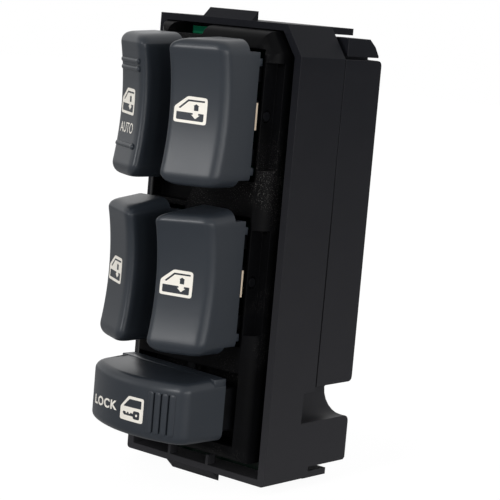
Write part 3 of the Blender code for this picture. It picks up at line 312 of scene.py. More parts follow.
def cap_grid(low, high, face, rear, half, radii, end, fine, rise=0.0, skirt=None, cap_rear=0.0, lift=None):
    """Key cap as rings over the height, with one corner radius for each flank.

    Each ring runs up one flank, round a corner, over the face y = face(x, z), round the other corner and down
    the other flank; towards the two ends every ring steps in by a quarter circle. With a skirt, given by its
    two heights, the rings between these reach back to the rear and the others stop at the cap's own rear. A
    lift z += lift(y, z) then slopes the upper end.
    """
    heights, inset = end_levels(half, end, fine)
    z = heights + rise
    behind = np.full(len(z), rear)
    if skirt:
        low_end, high_end = skirt
        added = [high_end, high_end, low_end, low_end]
        order = np.concatenate([z, added])
        place = np.argsort(-order, kind="stable")
        inset = np.concatenate([inset, np.interp(added, z[::-1], inset[::-1])])
        z, inset = order[place], inset[place]
        behind = np.full(len(z), cap_rear)
        first, last = np.flatnonzero(z == high_end)[-1], np.flatnonzero(z == low_end)[0]
        behind[first : last + 1] = rear
    back = np.full(len(z), cap_rear if skirt else rear)
    a, b = low + inset, high - inset
    span = np.linspace(0.0, 1.0, FACE_STEPS)[None, 1:-1]
    xs = (a + radii[0])[:, None] * (1 - span) + (b - radii[1])[:, None] * span
    across = np.stack([xs, face(xs, z[:, None]) + inset[:, None]], 2)
    flank = np.linspace(0.0, 1.0, FLANK_STEPS)[None, :-1, None]
    sides = []
    for x, near, radius in ((a, across[:, 0], radii[0]), (b, across[:, -1], radii[1])):
        foot = np.stack([x, back], 1)
        bend = corner_points(foot, np.stack([x, face(x, z) + inset], 1), near, radius)
        straight = foot[:, None] * (1 - flank) + bend[:, :1] * flank
        sides.append(np.concatenate([np.stack([x, behind], 1)[:, None], straight, bend], 1))
    ring = np.concatenate([sides[0], across, sides[1][:, ::-1]], 1)
    height = np.broadcast_to(z[:, None], ring.shape[:2])
    if lift:
        height = height + lift(ring[..., 1], height - rise)
    return np.dstack([ring, height])


def grid_faces(rows, columns, wrap=False):
    """Corner numbers of the quads of a grid, the last column joined to the first where it wraps."""
    i = np.arange(rows - 1)[:, None]
    j = np.arange(columns if wrap else columns - 1)[None, :]
    k = (j + 1) % columns
    quads = np.stack([i * columns + j, i * columns + k, (i + 1) * columns + k, (i + 1) * columns + j], 2)
    return quads.reshape(-1, 4)


def closed_tube(grid):
    """Mesh of a row of closed rings with both ends filled."""
    rows, columns = grid.shape[:2]
    faces = grid_faces(rows, columns, wrap=True).tolist()
    faces.append(list(range(columns)))
    faces.append(list(range((rows - 1) * columns, rows * columns))[::-1])
    mesh = bpy.data.meshes.new("tube")
    mesh.from_pydata(grid.reshape(-1, 3).tolist(), [], faces)
    return outwards(mesh, 0.001 * MM)


@contextlib.contextmanager
def editing(mesh):
    """A mesh opened for bmesh operations, then written back."""
    bm = bmesh.new()
    bm.from_mesh(mesh)
    yield bm
    bm.to_mesh(mesh)
    bm.free()


def outwards(mesh, merge=0.0):
    """Merge a mesh's doubles where asked, and point its faces outwards."""
    with editing(mesh) as bm:
        if merge:
            bmesh.ops.remove_doubles(bm, verts=bm.verts, dist=merge)
        bmesh.ops.recalc_face_normals(bm, faces=bm.faces)
    return mesh


def configured(thing, **settings):
    """A thing with some of its settings made."""
    for key, value in settings.items():
        setattr(thing, key, value)
    return thing


def in_scene(name, data):
    """New object in the scene."""
    holder = bpy.data.objects.new(name, data)
    bpy.context.scene.collection.objects.link(holder)
    return holder


def evaluated(holder):
    """New mesh of an object with its modifiers or its curve settings applied."""
    bpy.context.view_layer.update()
    return bpy.data.meshes.new_from_object(holder.evaluated_get(bpy.context.evaluated_depsgraph_get()))


def hollowed(outer, inner):
    """Outer mesh with an inner one taken out of it."""
    objects = [in_scene("hollowed", mesh) for mesh in (outer, inner)]
    cut = objects[0].modifiers.new("hollow", "BOOLEAN")
    configured(cut, operation="DIFFERENCE", solver="EXACT", object=objects[1])
    mesh = evaluated(objects[0])
    for holder in objects:
        bpy.data.objects.remove(holder, do_unlink=True)
    return mesh


def hollow_cap(low, high, face, rear, wall, outer, inner):
    """A key's cap with its hollow taken out; outer and inner hold the further values of cap_grid for each."""
    past = rear + HOLLOW_PAST_REAR
    hollow = cap_grid(low + wall, high - wall, lambda x, z: face(x, z) + wall, past, *inner)
    return hollowed(closed_tube(cap_grid(low, high, face, rear, *outer)), closed_tube(hollow))


def block(low, high, edge):
    """Block between two corners with its edges rounded."""
    mesh = bpy.data.meshes.new("block")
    size = Vector(high) - Vector(low)
    centre = (Vector(high) + Vector(low)) / 2
    with editing(mesh) as bm:
        bmesh.ops.create_cube(bm, size=1.0)
        place = Matrix.Translation(centre) @ Matrix.Diagonal((*size, 1.0))
        bmesh.ops.transform(bm, matrix=place, verts=bm.verts)
        bmesh.ops.bevel(bm, geom=bm.edges[:], offset=edge, segments=2, profile=0.5, affect="EDGES")
    return mesh


def joined(name, meshes):
    """One mesh from several."""
    result = bpy.data.meshes.new(name)
    with editing(result) as bm:
        for mesh in meshes:
            bm.from_mesh(mesh)
    return result


def moved(mesh, offset, turn=0.0):
    """A mesh turned about Z and moved to its place."""
    mesh.transform(Matrix.Translation(offset) @ Matrix.Rotation(turn, 4, "Z"))
    return mesh


def capsule_on(start, stop, half_width, height, surface, squareness=1.0):
    """Raised bar with round ends, along a straight line in X and Z over a face; below 0 high it is a slot.

    Near each end the half width follows a half circle. Round the bar an angle runs from one foot over the
    crest to the other, and the feet lie inside the face. Across, the bar is a superellipse: cosine and sine
    to the power of the squareness, 1 being round and less being square.
    """
    run = np.subtract(stop, start)
    total = np.linalg.norm(run)
    along = run / total
    u = (1 - np.cos(np.linspace(0.0, math.pi, BAR_ROWS))) / 2 * total
    edge = np.minimum(u, total - u)
    swell = np.sqrt(np.clip(1 - (1 - np.clip(edge / half_width, 0, 1)) ** 2, 0.0004, 1))
    turn = np.linspace(-0.2, math.pi + 0.2, BAR_COLUMNS)
    cosine, sine = (np.sign(part) * np.abs(part) ** squareness for part in (np.cos(turn), np.sin(turn)))
    offset = half_width * swell[:, None] * cosine[None]
    x = start[0] + along[0] * u[:, None] - along[1] * offset
    z = start[1] + along[1] * u[:, None] + along[0] * offset
    y = surface(x, z) - height * swell[:, None] * sine[None]
    return closed_tube(np.stack([x, y, z], 2))


# Pieces


def body_of_node(node):
    """Name of the body that a node belongs to."""
    bodies = frame["record"]["behaviour"]["bodies"]
    return next(body for body, members in bodies.items() if node in members)


def finish_piece(name, mesh, material, node, slot=None):
    """Put a mesh in the scene as a piece that moves with a node's body; with a slot it replaces the node."""
    piece = in_scene(name, mesh)
    mesh.materials.clear()
    mesh.materials.append(material)
    mesh.shade_smooth()
    mesh.set_sharp_from_angle(angle=math.radians(SHARP_FOLDS.get(slot, SHARP_FOLD)))
    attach(piece, body_of_node(node))
    if slot:
        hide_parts(node)
    return piece


def dressed(node, material, edge, slot, rubbed=None, lobe=None):
    """A node with its loose triangles joined into whole convex faces and its sharp edges rounded.

    The rubbed finish, if given, lies on the rounded edges alone: a paler tone of rubbed wear and painted
    highlight. A lobe gives the box and the larger radius of a rounded edge: both ends of such an edge lie in the
    box, on the left or on the right.
    """
    mesh = frame["nodes"][node].data.copy()
    mesh.name = f"{node}_shell"
    with editing(mesh) as bm:
        bmesh.ops.remove_doubles(bm, verts=bm.verts, dist=MERGE)
        bmesh.ops.dissolve_limit(bm, angle_limit=FLAT_ANGLE, verts=bm.verts, edges=bm.edges)
        bmesh.ops.connect_verts_concave(bm, faces=bm.faces[:])
        if lobe:
            low, high, radius = lobe
            places = {v: (abs(v.co.x), v.co.y, v.co.z) for v in bm.verts}
            inside = {v for v, place in places.items() if all(a < b < c for a, b, c in zip(low, place, high))}
            edges = [e for e in bm.edges if inside >= {*e.verts} and e.calc_face_angle(0.0) > LOBE_ANGLE]
            bmesh.ops.bevel(bm, geom=edges, offset=radius, segments=5, profile=0.5, affect="EDGES")
    piece = finish_piece(f"{node}_shell", mesh, material, node, slot)
    if edge:
        bevel = piece.modifiers.new("edges", "BEVEL")
        configured(bevel, width=edge, segments=2, limit_method="ANGLE", angle_limit=BEVEL_ANGLE)
        bevel.miter_outer = "MITER_ARC"
        configured(piece.modifiers.new("flat_faces", "WEIGHTED_NORMAL"), weight=100, keep_sharp=True)
        if rubbed:
            mesh.materials.append(rubbed)
            bevel.material = 1


# Finishes


class Wire:
    """A node socket that Python arithmetic adds Math nodes to."""

    def __init__(self, nodes, socket):
        self.nodes = nodes
        self.socket = socket

    def maths(self, operation, *others):
        """Math node on this value and others."""
        return self.nodes.add("ShaderNodeMath", dict(enumerate((self, *others))), operation=operation)

    def __add__(self, other):
        return self.maths("ADD", other)

    def __rsub__(self, other):
        return self.nodes.add("ShaderNodeMath", {0: other, 1: self}, operation="SUBTRACT")

    def __mul__(self, other):
        return self.maths("MULTIPLY", other)

    def __gt__(self, other):
        return self.maths("GREATER_THAN", other)

    def __lt__(self, other):
        return self.maths("LESS_THAN", other)

    __radd__ = __add__
    __rmul__ = __mul__

    def clamp(self):
        """The value held between 0 and 1."""
        return self.nodes.add("ShaderNodeClamp", {"Value": self, "Min": 0.0, "Max": 1.0})


class Nodes:
    """A node tree whose nodes are made and linked by one method."""

    def __init__(self, tree):
        self.tree = tree

    def add(self, kind, inputs, output=0, **settings):
        """A node of any kind, with its settings made before its sockets are filled."""
        node = configured(self.tree.nodes.new(kind), **settings)
        for key, value in inputs.items():
            self.fill(node.inputs[key], value)
        return Wire(self, node.outputs[output])

    def fill(self, socket, value):
        """Link a socket or give it a value."""
        if isinstance(value, Wire):
            self.tree.links.new(value.socket, socket)
        elif hasattr(value, "__len__") and len(value) == 3 and socket.type == "RGBA":
            socket.default_value = (*value, 1.0)
        else:
            socket.default_value = value

    def ray(self, kind):
        """1 for the rays of a kind and 0 for the others."""
        return self.add("ShaderNodeLightPath", {}, f"Is {kind} Ray")


class Finish(Nodes):
    """A material and the nodes that its pattern is made of."""

    def __init__(self, name, metallic=0.0, gloss=0.5):
        self.material = bpy.data.materials.new(name)
        self.material.use_nodes = True
        super().__init__(self.material.node_tree)
        self.shader = self.tree.nodes["Principled BSDF"]
        self.set("Metallic", metallic)
        self.set("Specular IOR Level", gloss)

    def set(self, socket, value):
        """Fill one of the shader's own sockets."""
        self.fill(self.shader.inputs[socket], value)

    def place(self):
        """Object coordinates in metres."""
        return self.add("ShaderNodeTexCoord", {}, "Object")

    def along(self, axis):
        """Object coordinate along one axis."""
        return self.add("ShaderNodeSeparateXYZ", {"Vector": self.place()}, axis)

    def noise(self, scale, detail, roughness, stretch=None):
        """Noise on Object coordinates: scale is features per metre."""
        vector = self.place()
        if stretch:
            vector = self.add("ShaderNodeMapping", {"Vector": vector, "Scale": stretch})
        inputs = {"Vector": vector, "Scale": scale, "Detail": detail, "Roughness": roughness}
        return self.add("ShaderNodeTexNoise", inputs)

    def ramp(self, value, low, high):
        """0 below low and 1 above high, straight between."""
        return self.add("ShaderNodeMapRange", {"Value": value, "From Min": low, "From Max": high}, clamp=True)

    def mix(self, share, first, second):
        """Mix of two colours."""
        return self.add("ShaderNodeMix", {0: share, 6: first, 7: second}, 2, data_type="RGBA")

    def bump(self, height, strength, distance):
        """Bump into the shader's normal."""
        inputs = {"Height": height, "Strength": strength, "Distance": distance}
        self.set("Normal", self.add("ShaderNodeBump", inputs))


def shade(rgb, share):
    """A colour made darker."""
    return tuple(share * c for c in rgb)


def moulded_finish(name, dark, light, dust=None, foot=None, seam=False):
    """Grained moulding: fine bumps, cloudy rubbed tone, and roughness that follows both.

    Dust, where it has a colour, lies as fine specks in patches. The foot's colour is painted light: it fades in
    towards the foot, so the lower part is painted paler as if lit more there. A seam is a painted shadow: the dark
    line between the housing and its cover, which fades out upwards.
    """
    roughness, grain, depth, gloss = MOULDINGS[name]
    finish = Finish(name, gloss=gloss)
    fine = finish.noise(grain, 2.0, 0.6)
    cloud = finish.ramp(finish.noise(55.0, 4.0, 0.6), 0.38, 0.72)
    streak = finish.ramp(finish.noise(160.0, 3.0, 0.6, (1.0, 0.18, 1.0)), 0.45, 0.75)
    rubbed = (0.55 * cloud + 0.25 * streak + 0.3 * fine).clamp()
    tone = finish.mix(rubbed * 0.55, dark, light)
    # Painted light: paler towards the foot, fading out upwards
    if foot:
        tone = finish.mix(0.8 - 0.8 * finish.ramp(finish.along(2), 0.0, FOOT_PAINTED_LIGHT_HEIGHT), tone, foot)
    if dust:
        patch = finish.ramp(finish.noise(70.0, 2.0, 0.5), 0.48, 0.62)
        speck = finish.ramp(finish.noise(3800.0, 1.0, 0.4), 0.6, 0.72)
        tone = finish.mix(patch * speck, tone, dust)
    # Painted shadow: a dark band where the housing meets its cover, fading out upwards
    if seam:
        y = finish.along(1)
        inside = (y > SEAM_FRONT) * (y < SEAM_BACK) * (1 - finish.ramp(finish.along(2), SEAM_FADE, SEAM_TOP))
        tone = finish.mix(inside, tone, SEAM_SHADOW_TONE)
    finish.set("Base Color", tone)
    finish.set("Roughness", (roughness - 0.06 + 0.1 * cloud + 0.06 * fine).clamp())
    finish.bump(fine, 0.35, depth)
    return finish.material


def key_finish(name, dark, light):
    """Soft-touch paint: a dense fine grain with a slow change of tone, rubbed paler in places."""
    finish = Finish(name, gloss=0.28)
    fine = finish.noise(5200.0, 2.0, 0.7)
    slow = finish.ramp(finish.noise(38.0, 3.0, 0.5), 0.35, 0.7)
    finish.set("Base Color", finish.mix((0.5 * slow + 0.35 * fine).clamp(), dark, light))
    finish.set("Roughness", (0.27 + 0.05 * slow + 0.06 * fine).clamp())
    finish.bump(fine, 0.3, 0.04 * MM)
    return finish.material


def plain_finish(name, rgb, noise, share, darkest, roughness, change, metallic=0.0):
    """One colour with noise in its tone and in its roughness."""
    finish = Finish(name, metallic)
    patch = finish.noise(*noise)
    finish.set("Base Color", finish.mix(patch * share, rgb, shade(rgb, darkest)))
    finish.set("Roughness", roughness + change * patch)
    return finish.material


def board_finish(name, mask, track):
    """Solder mask with paler tracks: bands of two wave patterns, cut into runs by a coarse cell pattern. Its lower
    part is painted much darker: painted shade.
    """
    finish = Finish(name, gloss=0.12)
    place = finish.place()
    cells = finish.add("ShaderNodeTexVoronoi", {"Vector": place, "Scale": 260.0}, feature="F1")
    wave = {"Vector": place, "Scale": 180.0}
    lines = finish.add("ShaderNodeTexWave", wave, wave_type="BANDS", bands_direction="Z")
    mark = (lines > 0.72) * (cells > 0.28)
    # Painted shade: the lower board is painted far darker, fading out upwards
    upper = finish.ramp(finish.along(2), 0.03, 0.1)
    finish.set("Base Color", finish.mix(upper, shade(mask, 0.06), finish.mix(mark, mask, track)))
    finish.set("Roughness", 0.28 + 0.1 * mark)
    finish.bump(mark, 0.4, 0.03 * MM)
    return finish.material


def finish_named(name):
    """One of the finishes by its name, made on first use from the colours in the panel."""
    if name in bpy.data.materials:
        return bpy.data.materials[name]
    tone = bpy.context.scene.switch_colours
    # Housing and cover: grained black, painted paler towards the foot as painted light
    case = (moulded_finish, tone.housing, tone.housing_light, None, tone.foot)
    makers = {
        "housing_finish": case,
        "cover_finish": case,
        # Rounded edges: paler for rubbed wear and painted highlight, with the seam's painted shadow
        "edge_finish": (moulded_finish, tone.housing_light, tone.edge, None, None, True),
        # Inside mouldings: their dark tone is partly painted shade of the housing's inside
        "carrier_finish": (moulded_finish, tone.carrier, shade(tone.housing, 0.5), tone.dust),
        "rocker_finish": (moulded_finish, tone.carrier, tone.housing),
        "block_finish": (moulded_finish, tone.carrier, tone.housing_light),
        "key_paint_finish": (key_finish, tone.key, tone.key_light),
        "board_finish": (board_finish, tone.board, tone.copper),
        "legend_ink": (plain_finish, tone.legend, *INK),
        "plunger_finish": (plain_finish, PLUNGER_TONE, *INK),
        "guide_finish": (plain_finish, tone.guide, *MILKY),
        "lamp_finish": (plain_finish, LAMP_TONE, *MILKY),
        "pin_finish": (plain_finish, tone.metal, *PLATED),
        "screw_finish": (plain_finish, shade(tone.metal, 0.9), *RUBBED),
    }
    maker, *values = makers[name]
    return maker(name, *values)


def dress_all(plans):
    """Dress the nodes whose names hold a plan's text, with its finish, its slot and its edge."""
    for node in sorted(frame["nodes"]):
        for part, finish, slot, edge in plans:
            if part in node:
                dressed(node, finish_named(finish), edge, slot)


class SWITCH_OT_case(bpy.types.Operator):
    """Housing and rear cover with softened edges"""

    bl_idname = "switch.case"
    bl_label = "Housing and rear cover"

    def execute(self, context):
        sizes = context.scene.switch_sizes
        # Rounded edges take a paler finish: rubbed wear and painted highlight
        rubbed = finish_named("edge_finish")
        foot = (FOOT_EDGE_LOW, FOOT_EDGE_HIGH, sizes.foot_lobe)
        dressed("housing", finish_named("housing_finish"), sizes.edge, "housing", rubbed, foot)
        dressed("rear_cover", finish_named("cover_finish"), sizes.edge, "rear_cover", rubbed)
        return {"FINISHED"}


class SWITCH_OT_inside(bpy.types.Operator):
    """Carrier, board, screws, switch blocks, rockers, plungers, lamps and light guides"""

    bl_idname = "switch.inside"
    bl_label = "Carrier and board"

    def execute(self, context):
        small = context.scene.switch_sizes.small_edge
        plans = (
            ("key_carrier", "carrier_finish", "carrier", small),
            ("circuit_board", "board_finish", "circuit_board", 0.0),
            ("_switch_block", "block_finish", "switch_blocks", small),
            ("_light_guide", "guide_finish", "light_guides", 0.0),
            ("_rocker", "rocker_finish", "rockers", small),
            ("_plunger_", "plunger_finish", "plungers", 0.0),
            ("_lamp", "lamp_finish", "lamps", 0.0),
            ("board_screw", "screw_finish", "screws", 0.0),
        )
        dress_all(plans)
        return {"FINISHED"}


class SWITCH_OT_connector(bpy.types.Operator):
    """Connector socket and its pins"""

    bl_idname = "switch.connector"
    bl_label = "Connector"

    def execute(self, context):
        small = context.scene.switch_sizes.small_edge
        header = ("connector_header", "block_finish", "connector", small)
        dress_all((header, ("terminal_pin", "pin_finish", "pins", 0.0)))
        return {"FINISHED"}


# Keys


def key_span(side):
    """Left and right edge of a window key about its pivot."""
    name = "front_right" if side > 0 else "rear_left"
    x = pivot_of(f"{name}_window").x
    return [corner.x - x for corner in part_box(f"{name}_key")]


def window_key_face(sizes, side):
    """Front of a window key as a function of X and Z about its pivot.

    It is dished in height and slopes back outwards: reach less dish times (z / half height) squared, plus
    slope times the distance from the inner edge.
    """
    low, high = key_span(side)
    inner = low if side > 0 else high
    pivot = pivot_of("front_right_window")

    def face(x, z):
        dish = sizes.key_dish * (z / KEY_HALF) ** 2
        return RIM - sizes.key_front - dish + sizes.key_slope * side * (x - inner) - pivot.y

    return face


def lock_face(sizes):
    """Front of the lock key as a function of X and Z about its pivot: crowned from end to end."""
    pivot = pivot_of("lock")

    def face(x, z):
        return RIM - sizes.lock_front + sizes.lock_crown * (x / LOCK_HALF_WIDTH) ** 2 - pivot.y

    return face


def stop_tabs(low, high, rear):
    """The four small blocks behind a window key's skirt."""
    tabs = []
    for edge in (low + STOP_INSET, high - STOP_INSET - STOP_WIDTH):
        for bottom, top in STOP_HEIGHTS:
            near = (edge, rear - STOP_ROOT, bottom)
            tabs.append(block(near, (edge + STOP_WIDTH, rear + STOP_REACH, top), STOP_EDGE))
    return tabs


def cross_bars(low, high, face, height):
    """The raised bars of the first window key, each of two bumps."""
    bars = []
    for level in CROSS_BAR_LEVELS:
        for start, stop, half_width, rise in CROSS_BAR_BUMPS:
            ends = ((low + start, level), (high + stop, level))
            bars.append(capsule_on(*ends, half_width, rise * height, face))
    return bars


def sloped_end(start, stop, half, rise, power):
    """Lift of a cap's upper end: it grows from start to stop in Y, and with the height to a power."""

    def lift(y, z):
        share = np.clip((y - start) / (stop - start), 0.0, 1.0)
        return rise * share * np.clip(z / half, 0.0, 1.0) ** power

    return lift


class SWITCH_OT_window_keys(bpy.types.Operator):
    """Caps and skirts of the four window keys, with the raised bars of the first"""

    bl_idname = "switch.window_keys"
    bl_label = "Window keys"

    def execute(self, context):
        sizes = context.scene.switch_sizes
        paint = finish_named("key_paint_finish")
        corners = {1: [sizes.key_corner] * 2, -1: (sizes.outer_corner, sizes.inner_corner)}
        for name in WINDOW_KEYS:
            side = 1 if name.endswith("right") else -1
            low, high = key_span(side)
            face = window_key_face(sizes, side)
            pivot = pivot_of(f"{name}_window")
            rear = SKIRT_REAR - pivot.y
            cap_rear = rear - sizes.skirt_depth
            draft = sizes.upper_draft if name.startswith("front") else sizes.lower_draft
            tip = RIM - sizes.key_front - sizes.key_dish - pivot.y
            lift = sloped_end(cap_rear, tip, KEY_HALF, -draft, 4)
            skirt = (-SKIRT_HALF, SKIRT_HALF)
            outer = (KEY_HALF, corners[side], sizes.key_end, KEY_LINES, KEY_RISE, skirt, cap_rear, lift)
            inner = (SKIRT_HALF - sizes.key_wall, HOLLOW_CORNERS, HOLLOW_END, HOLLOW_LINES)
            cap = hollow_cap(low, high, face, rear, sizes.key_wall, outer, inner)
            meshes = [cap, *stop_tabs(low, high, rear)]
            if name == "front_left":
                meshes += cross_bars(low, high, face, sizes.bar_height)
            mesh = moved(joined(f"{name}_key_cap", meshes), pivot)
            finish_piece(f"{name}_key_cap", mesh, paint, f"{name}_key", "keys")
        return {"FINISHED"}


class SWITCH_OT_lock_key(bpy.types.Operator):
    """Lock key with its four bars, at its resting tilt"""

    bl_idname = "switch.lock_key"
    bl_label = "Lock key"

    def execute(self, context):
        sizes = context.scene.switch_sizes
        face = lock_face(sizes)
        pivot = pivot_of("lock")
        rear = SKIRT_REAR - pivot.y
        cap_rear = rear - sizes.skirt_depth
        lift = sloped_end(RIM - sizes.lock_front - pivot.y, cap_rear, LOCK_HALF, LOCK_LIP, 1)
        outer = (LOCK_HALF, [sizes.lock_corner] * 2, sizes.lock_end, LOCK_LINES, 0.0, None, 0.0, lift)
        inner = (LOCK_HALF - sizes.key_wall, HOLLOW_CORNERS, LOCK_HOLLOW_END, LOCK_HOLLOW_LINES)
        cap = hollow_cap(-LOCK_HALF_WIDTH, LOCK_HALF_WIDTH, face, rear, sizes.key_wall, outer, inner)
        half = LOCK_HALF_WIDTH - LIP_INSET
        top = LOCK_HALF + LOCK_LIP - LIP_SINK
        meshes = [block((-half, cap_rear, LOCK_HALF - LIP_ROOT), (half, rear, top), LIP_EDGE)]
        places = [LOCK_HALF_WIDTH - inset for inset in LOCK_BAR_INSETS]
        for x in places:
            ends = [(x, z) for z in LOCK_BAR_SPAN]
            meshes.append(capsule_on(*ends, LOCK_BAR_HALF_WIDTH, LOCK_BAR_HEIGHT, face, LOCK_SQUARENESS))
        for x, after in zip(places, places[1:]):
            ends = [((x + after) / 2, z) for z in LOCK_SLOT_SPAN]
            slot = capsule_on(*ends, LOCK_SLOT_HALF_WIDTH, -LOCK_SLOT_DEPTH, face, LOCK_SQUARENESS)
            cap = hollowed(cap, slot)
        mesh = moved(joined("lock_key_cap", [cap, *meshes]), pivot, -sizes.lock_tilt)
        finish_piece("lock_key_cap", mesh, finish_named("key_paint_finish"), "lock_key", "keys")
        return {"FINISHED"}


# Legends


def filled_outlines(name, outlines):
    """Flat curve in X and Y of closed outlines; an outline inside another is a hole in it."""
    curve = configured(bpy.data.curves.new(name, "CURVE"), dimensions="2D", fill_mode="BOTH")
    for outline in outlines:
        spline = curve.splines.new("POLY")
        spline.points.add(len(outline) - 1)
        for point, (x, y) in zip(spline.points, outline):
            point.co = (x, y, 0.0, 1.0)
        spline.use_cyclic_u = True
    return curve


def curve_mesh(curve, thickness):
    """Mesh of a flat curve or a text, given a thickness."""
    curve.extrude = thickness / 2
    holder = in_scene(curve.name, curve)
    mesh = evaluated(holder)
    bpy.data.objects.remove(holder, do_unlink=True)
    return mesh


def points_of(mesh):
    """Places of a mesh's vertices as an array."""
    co = np.empty(len(mesh.vertices) * 3)
    mesh.vertices.foreach_get("co", co)
    return co.reshape(-1, 3)


def printed_on(mesh, face, sink):
    """Wrap a flat legend over a face: cut it into narrow strips both ways, then lay each vertex on it."""
    with editing(mesh) as bm:
        bmesh.ops.remove_doubles(bm, verts=bm.verts, dist=LEGEND_MERGE)
        for axis, normal in enumerate((Vector((1, 0, 0)), Vector((0, 1, 0)))):
            low = min(v.co[axis] for v in bm.verts)
            high = max(v.co[axis] for v in bm.verts)
            for place in np.arange(low + LEGEND_STEP, high, LEGEND_STEP):
                geometry = bm.verts[:] + bm.edges[:] + bm.faces[:]
                bmesh.ops.bisect_plane(bm, geom=geometry, plane_co=normal * float(place), plane_no=normal)
    x, z, depth = points_of(mesh).T
    laid = np.stack([x, face(x, z) - depth - sink, z], 1)
    mesh.vertices.foreach_set("co", laid.ravel())
    return outwards(mesh)


def letters(word, span, line, thickness, boldness=0.0, lean=0.0, spacing=1.0):
    """A word as a thin mesh that fills a span in X and a line in Y, leaned by a slope about its middle."""
    text = bpy.data.curves.new(word, "FONT")
    mesh = curve_mesh(configured(text, body=word, offset=boldness, space_character=spacing), thickness)
    co = points_of(mesh)
    start, stop = co.min(0), co.max(0)
    for axis, (low, high) in enumerate((span, line)):
        co[:, axis] = low + (co[:, axis] - start[axis]) / (stop[axis] - start[axis]) * (high - low)
    co[:, 1] += lean * (co[:, 0] - (span[0] + span[1]) / 2)
    mesh.vertices.foreach_set("co", co.ravel())
    return mesh


def rounded(outline, reaches, steps=4):
    """An outline with each corner replaced by a quadratic curve of its own reach, or kept where that is 0."""
    points = []
    for i, (corner, reach) in enumerate(zip(outline, reaches)):
        corner = Vector(corner)
        if not reach:
            points.append(tuple(corner))
            continue
        before, after = Vector(outline[i - 1]), Vector(outline[(i + 1) % len(outline)])
        start = corner + (before - corner).normalized() * reach
        stop = corner + (after - corner).normalized() * reach
        for step in range(steps + 1):
            t = step / steps
            point = (1 - t) ** 2 * start + 2 * t * (1 - t) * corner + t * t * stop
            points.append(tuple(point))
    return points


def placed(points, x, z, lean=0.0):
    """Points in millimetres from a legend's lower left corner, put in place and leaned about its middle."""
    return [(x + u * MM, z + (v + lean * (u - SYMBOL_MIDDLE)) * MM) for u, v in points]


def window_symbol(x, z, lean):
    """Outlines of the window symbol: a door with a pane, an arrow up cut out of it and an arrow down."""
    outer = [(0.0, 0.0), (7.55, 0.0), (7.6, 6.6), (3.05, 6.6), (0.0, 3.75)]
    panel = [(0.55, 0.68), (6.9, 0.68), (6.9, 2.6), (5.6, 2.6), (5.6, 2.15), (5.95, 2.15)]
    panel += [(4.98, 1.2), (4.0, 2.15), (4.35, 2.15), (4.35, 2.6), (0.55, 2.6)]
    up = [(4.55, 3.2), (5.6, 3.2), (5.6, 4.35), (5.8, 4.35), (5.08, 4.85), (4.36, 4.35), (4.55, 4.35)]
    gap = [(7.0, 5.85), (3.15, 5.8), (0.95, 3.55), (1.38, 3.4), (3.3, 5.35), (7.0, 5.42)]
    shapes = (
        rounded(outer, [0.6, 0.6, 0.75, 0.5, 0.6]),
        rounded(panel, [0.3, 0.3] + [0.06] * 9, 2),
        rounded(up, [0.06] * 7, 2),
        rounded(gap, [0.08] * 6, 2),
    )
    return [placed(shape, x, z, lean) for shape in shapes]


def lock_symbol(x, z):
    """Outlines of the door lock symbol: a door with an open pane and a key cut out of its panel."""
    outer = [(0.0, 0.0), (7.65, 0.0), (7.65, 6.35), (2.77, 6.35), (0.0, 3.3)]
    pane = [(7.0, 3.6), (7.0, 5.65), (3.1, 5.6), (1.0, 3.5)]
    bow = [(4.5, 0.72), (6.62, 0.72), (6.62, 2.8), (4.5, 2.8)]
    teeth = [(4.5, 2), (3.75, 2.2), (3.4, 1.8), (3.2, 1.8), (2.95, 2.2), (2.6, 2.2), (2.35, 1.8), (2.15, 1.8)]
    shaft = [(1.9, 2.2), (1.1, 2.2), (1.0, 1.75), (1.4, 1.3), (4.5, 1.3)]
    turns = np.linspace(0, 2 * math.pi, 13)[:-1]
    shapes = (
        rounded(outer, [0.6, 0.6, 0.6, 0.5, 0.5]),
        rounded(pane, [0.1, 0.25, 0.2, 0.15]),
        rounded(bow + teeth + shaft, [0.5] * 4 + [0] * 13),
        [(5.6 + 0.3 * math.cos(a), 1.74 + 0.34 * math.sin(a)) for a in turns],
    )
    return [placed(shape, x, z) for shape in shapes]


class SWITCH_OT_legends(bpy.types.Operator):
    """Printed legends: window symbols, AUTO, LOCK and the lock symbol"""

    bl_idname = "switch.legends"
    bl_label = "Legends"

    def execute(self, context):
        sizes = context.scene.switch_sizes
        for name in WINDOW_KEYS:
            row, column = name.split("_")
            side = 1 if column == "right" else -1
            face = window_key_face(sizes, side)
            pivot = pivot_of(f"{name}_window")
            outlines = window_symbol(SYMBOL_LEFT[side] - pivot.x, SYMBOL_BOTTOM[row], SYMBOL_LEAN)
            meshes = [curve_mesh(filled_outlines(f"{name}_symbol", outlines), sizes.ink)]
            if name == "front_left":
                span = [x - pivot.x for x in AUTO_SPAN]
                meshes.append(letters("AUTO", span, AUTO_LINE, sizes.ink))
            self.print_legend(name, meshes, face, sizes, pivot, 0.0)
        symbol = filled_outlines("lock_symbol", lock_symbol(*LOCK_SYMBOL_PLACE))
        word = letters("LOCK", LOCK_SPAN, LOCK_LINE, sizes.ink, LOCK_BOLDNESS, LOCK_LEAN, LOCK_SPACING)
        meshes = [word, curve_mesh(symbol, sizes.ink)]
        self.print_legend("lock", meshes, lock_face(sizes), sizes, pivot_of("lock"), -sizes.lock_tilt)
        return {"FINISHED"}

    def print_legend(self, name, meshes, face, sizes, pivot, turn):
        """Lay flat meshes on a key's face as one piece, sunk a little into the paint."""
        laid = [printed_on(mesh, face, sizes.ink * 0.2) for mesh in meshes]
        mesh = moved(joined(f"{name}_legend", laid), pivot, turn)
        finish_piece(f"{name}_legend", mesh, finish_named("legend_ink"), f"{name}_key")


# Stage


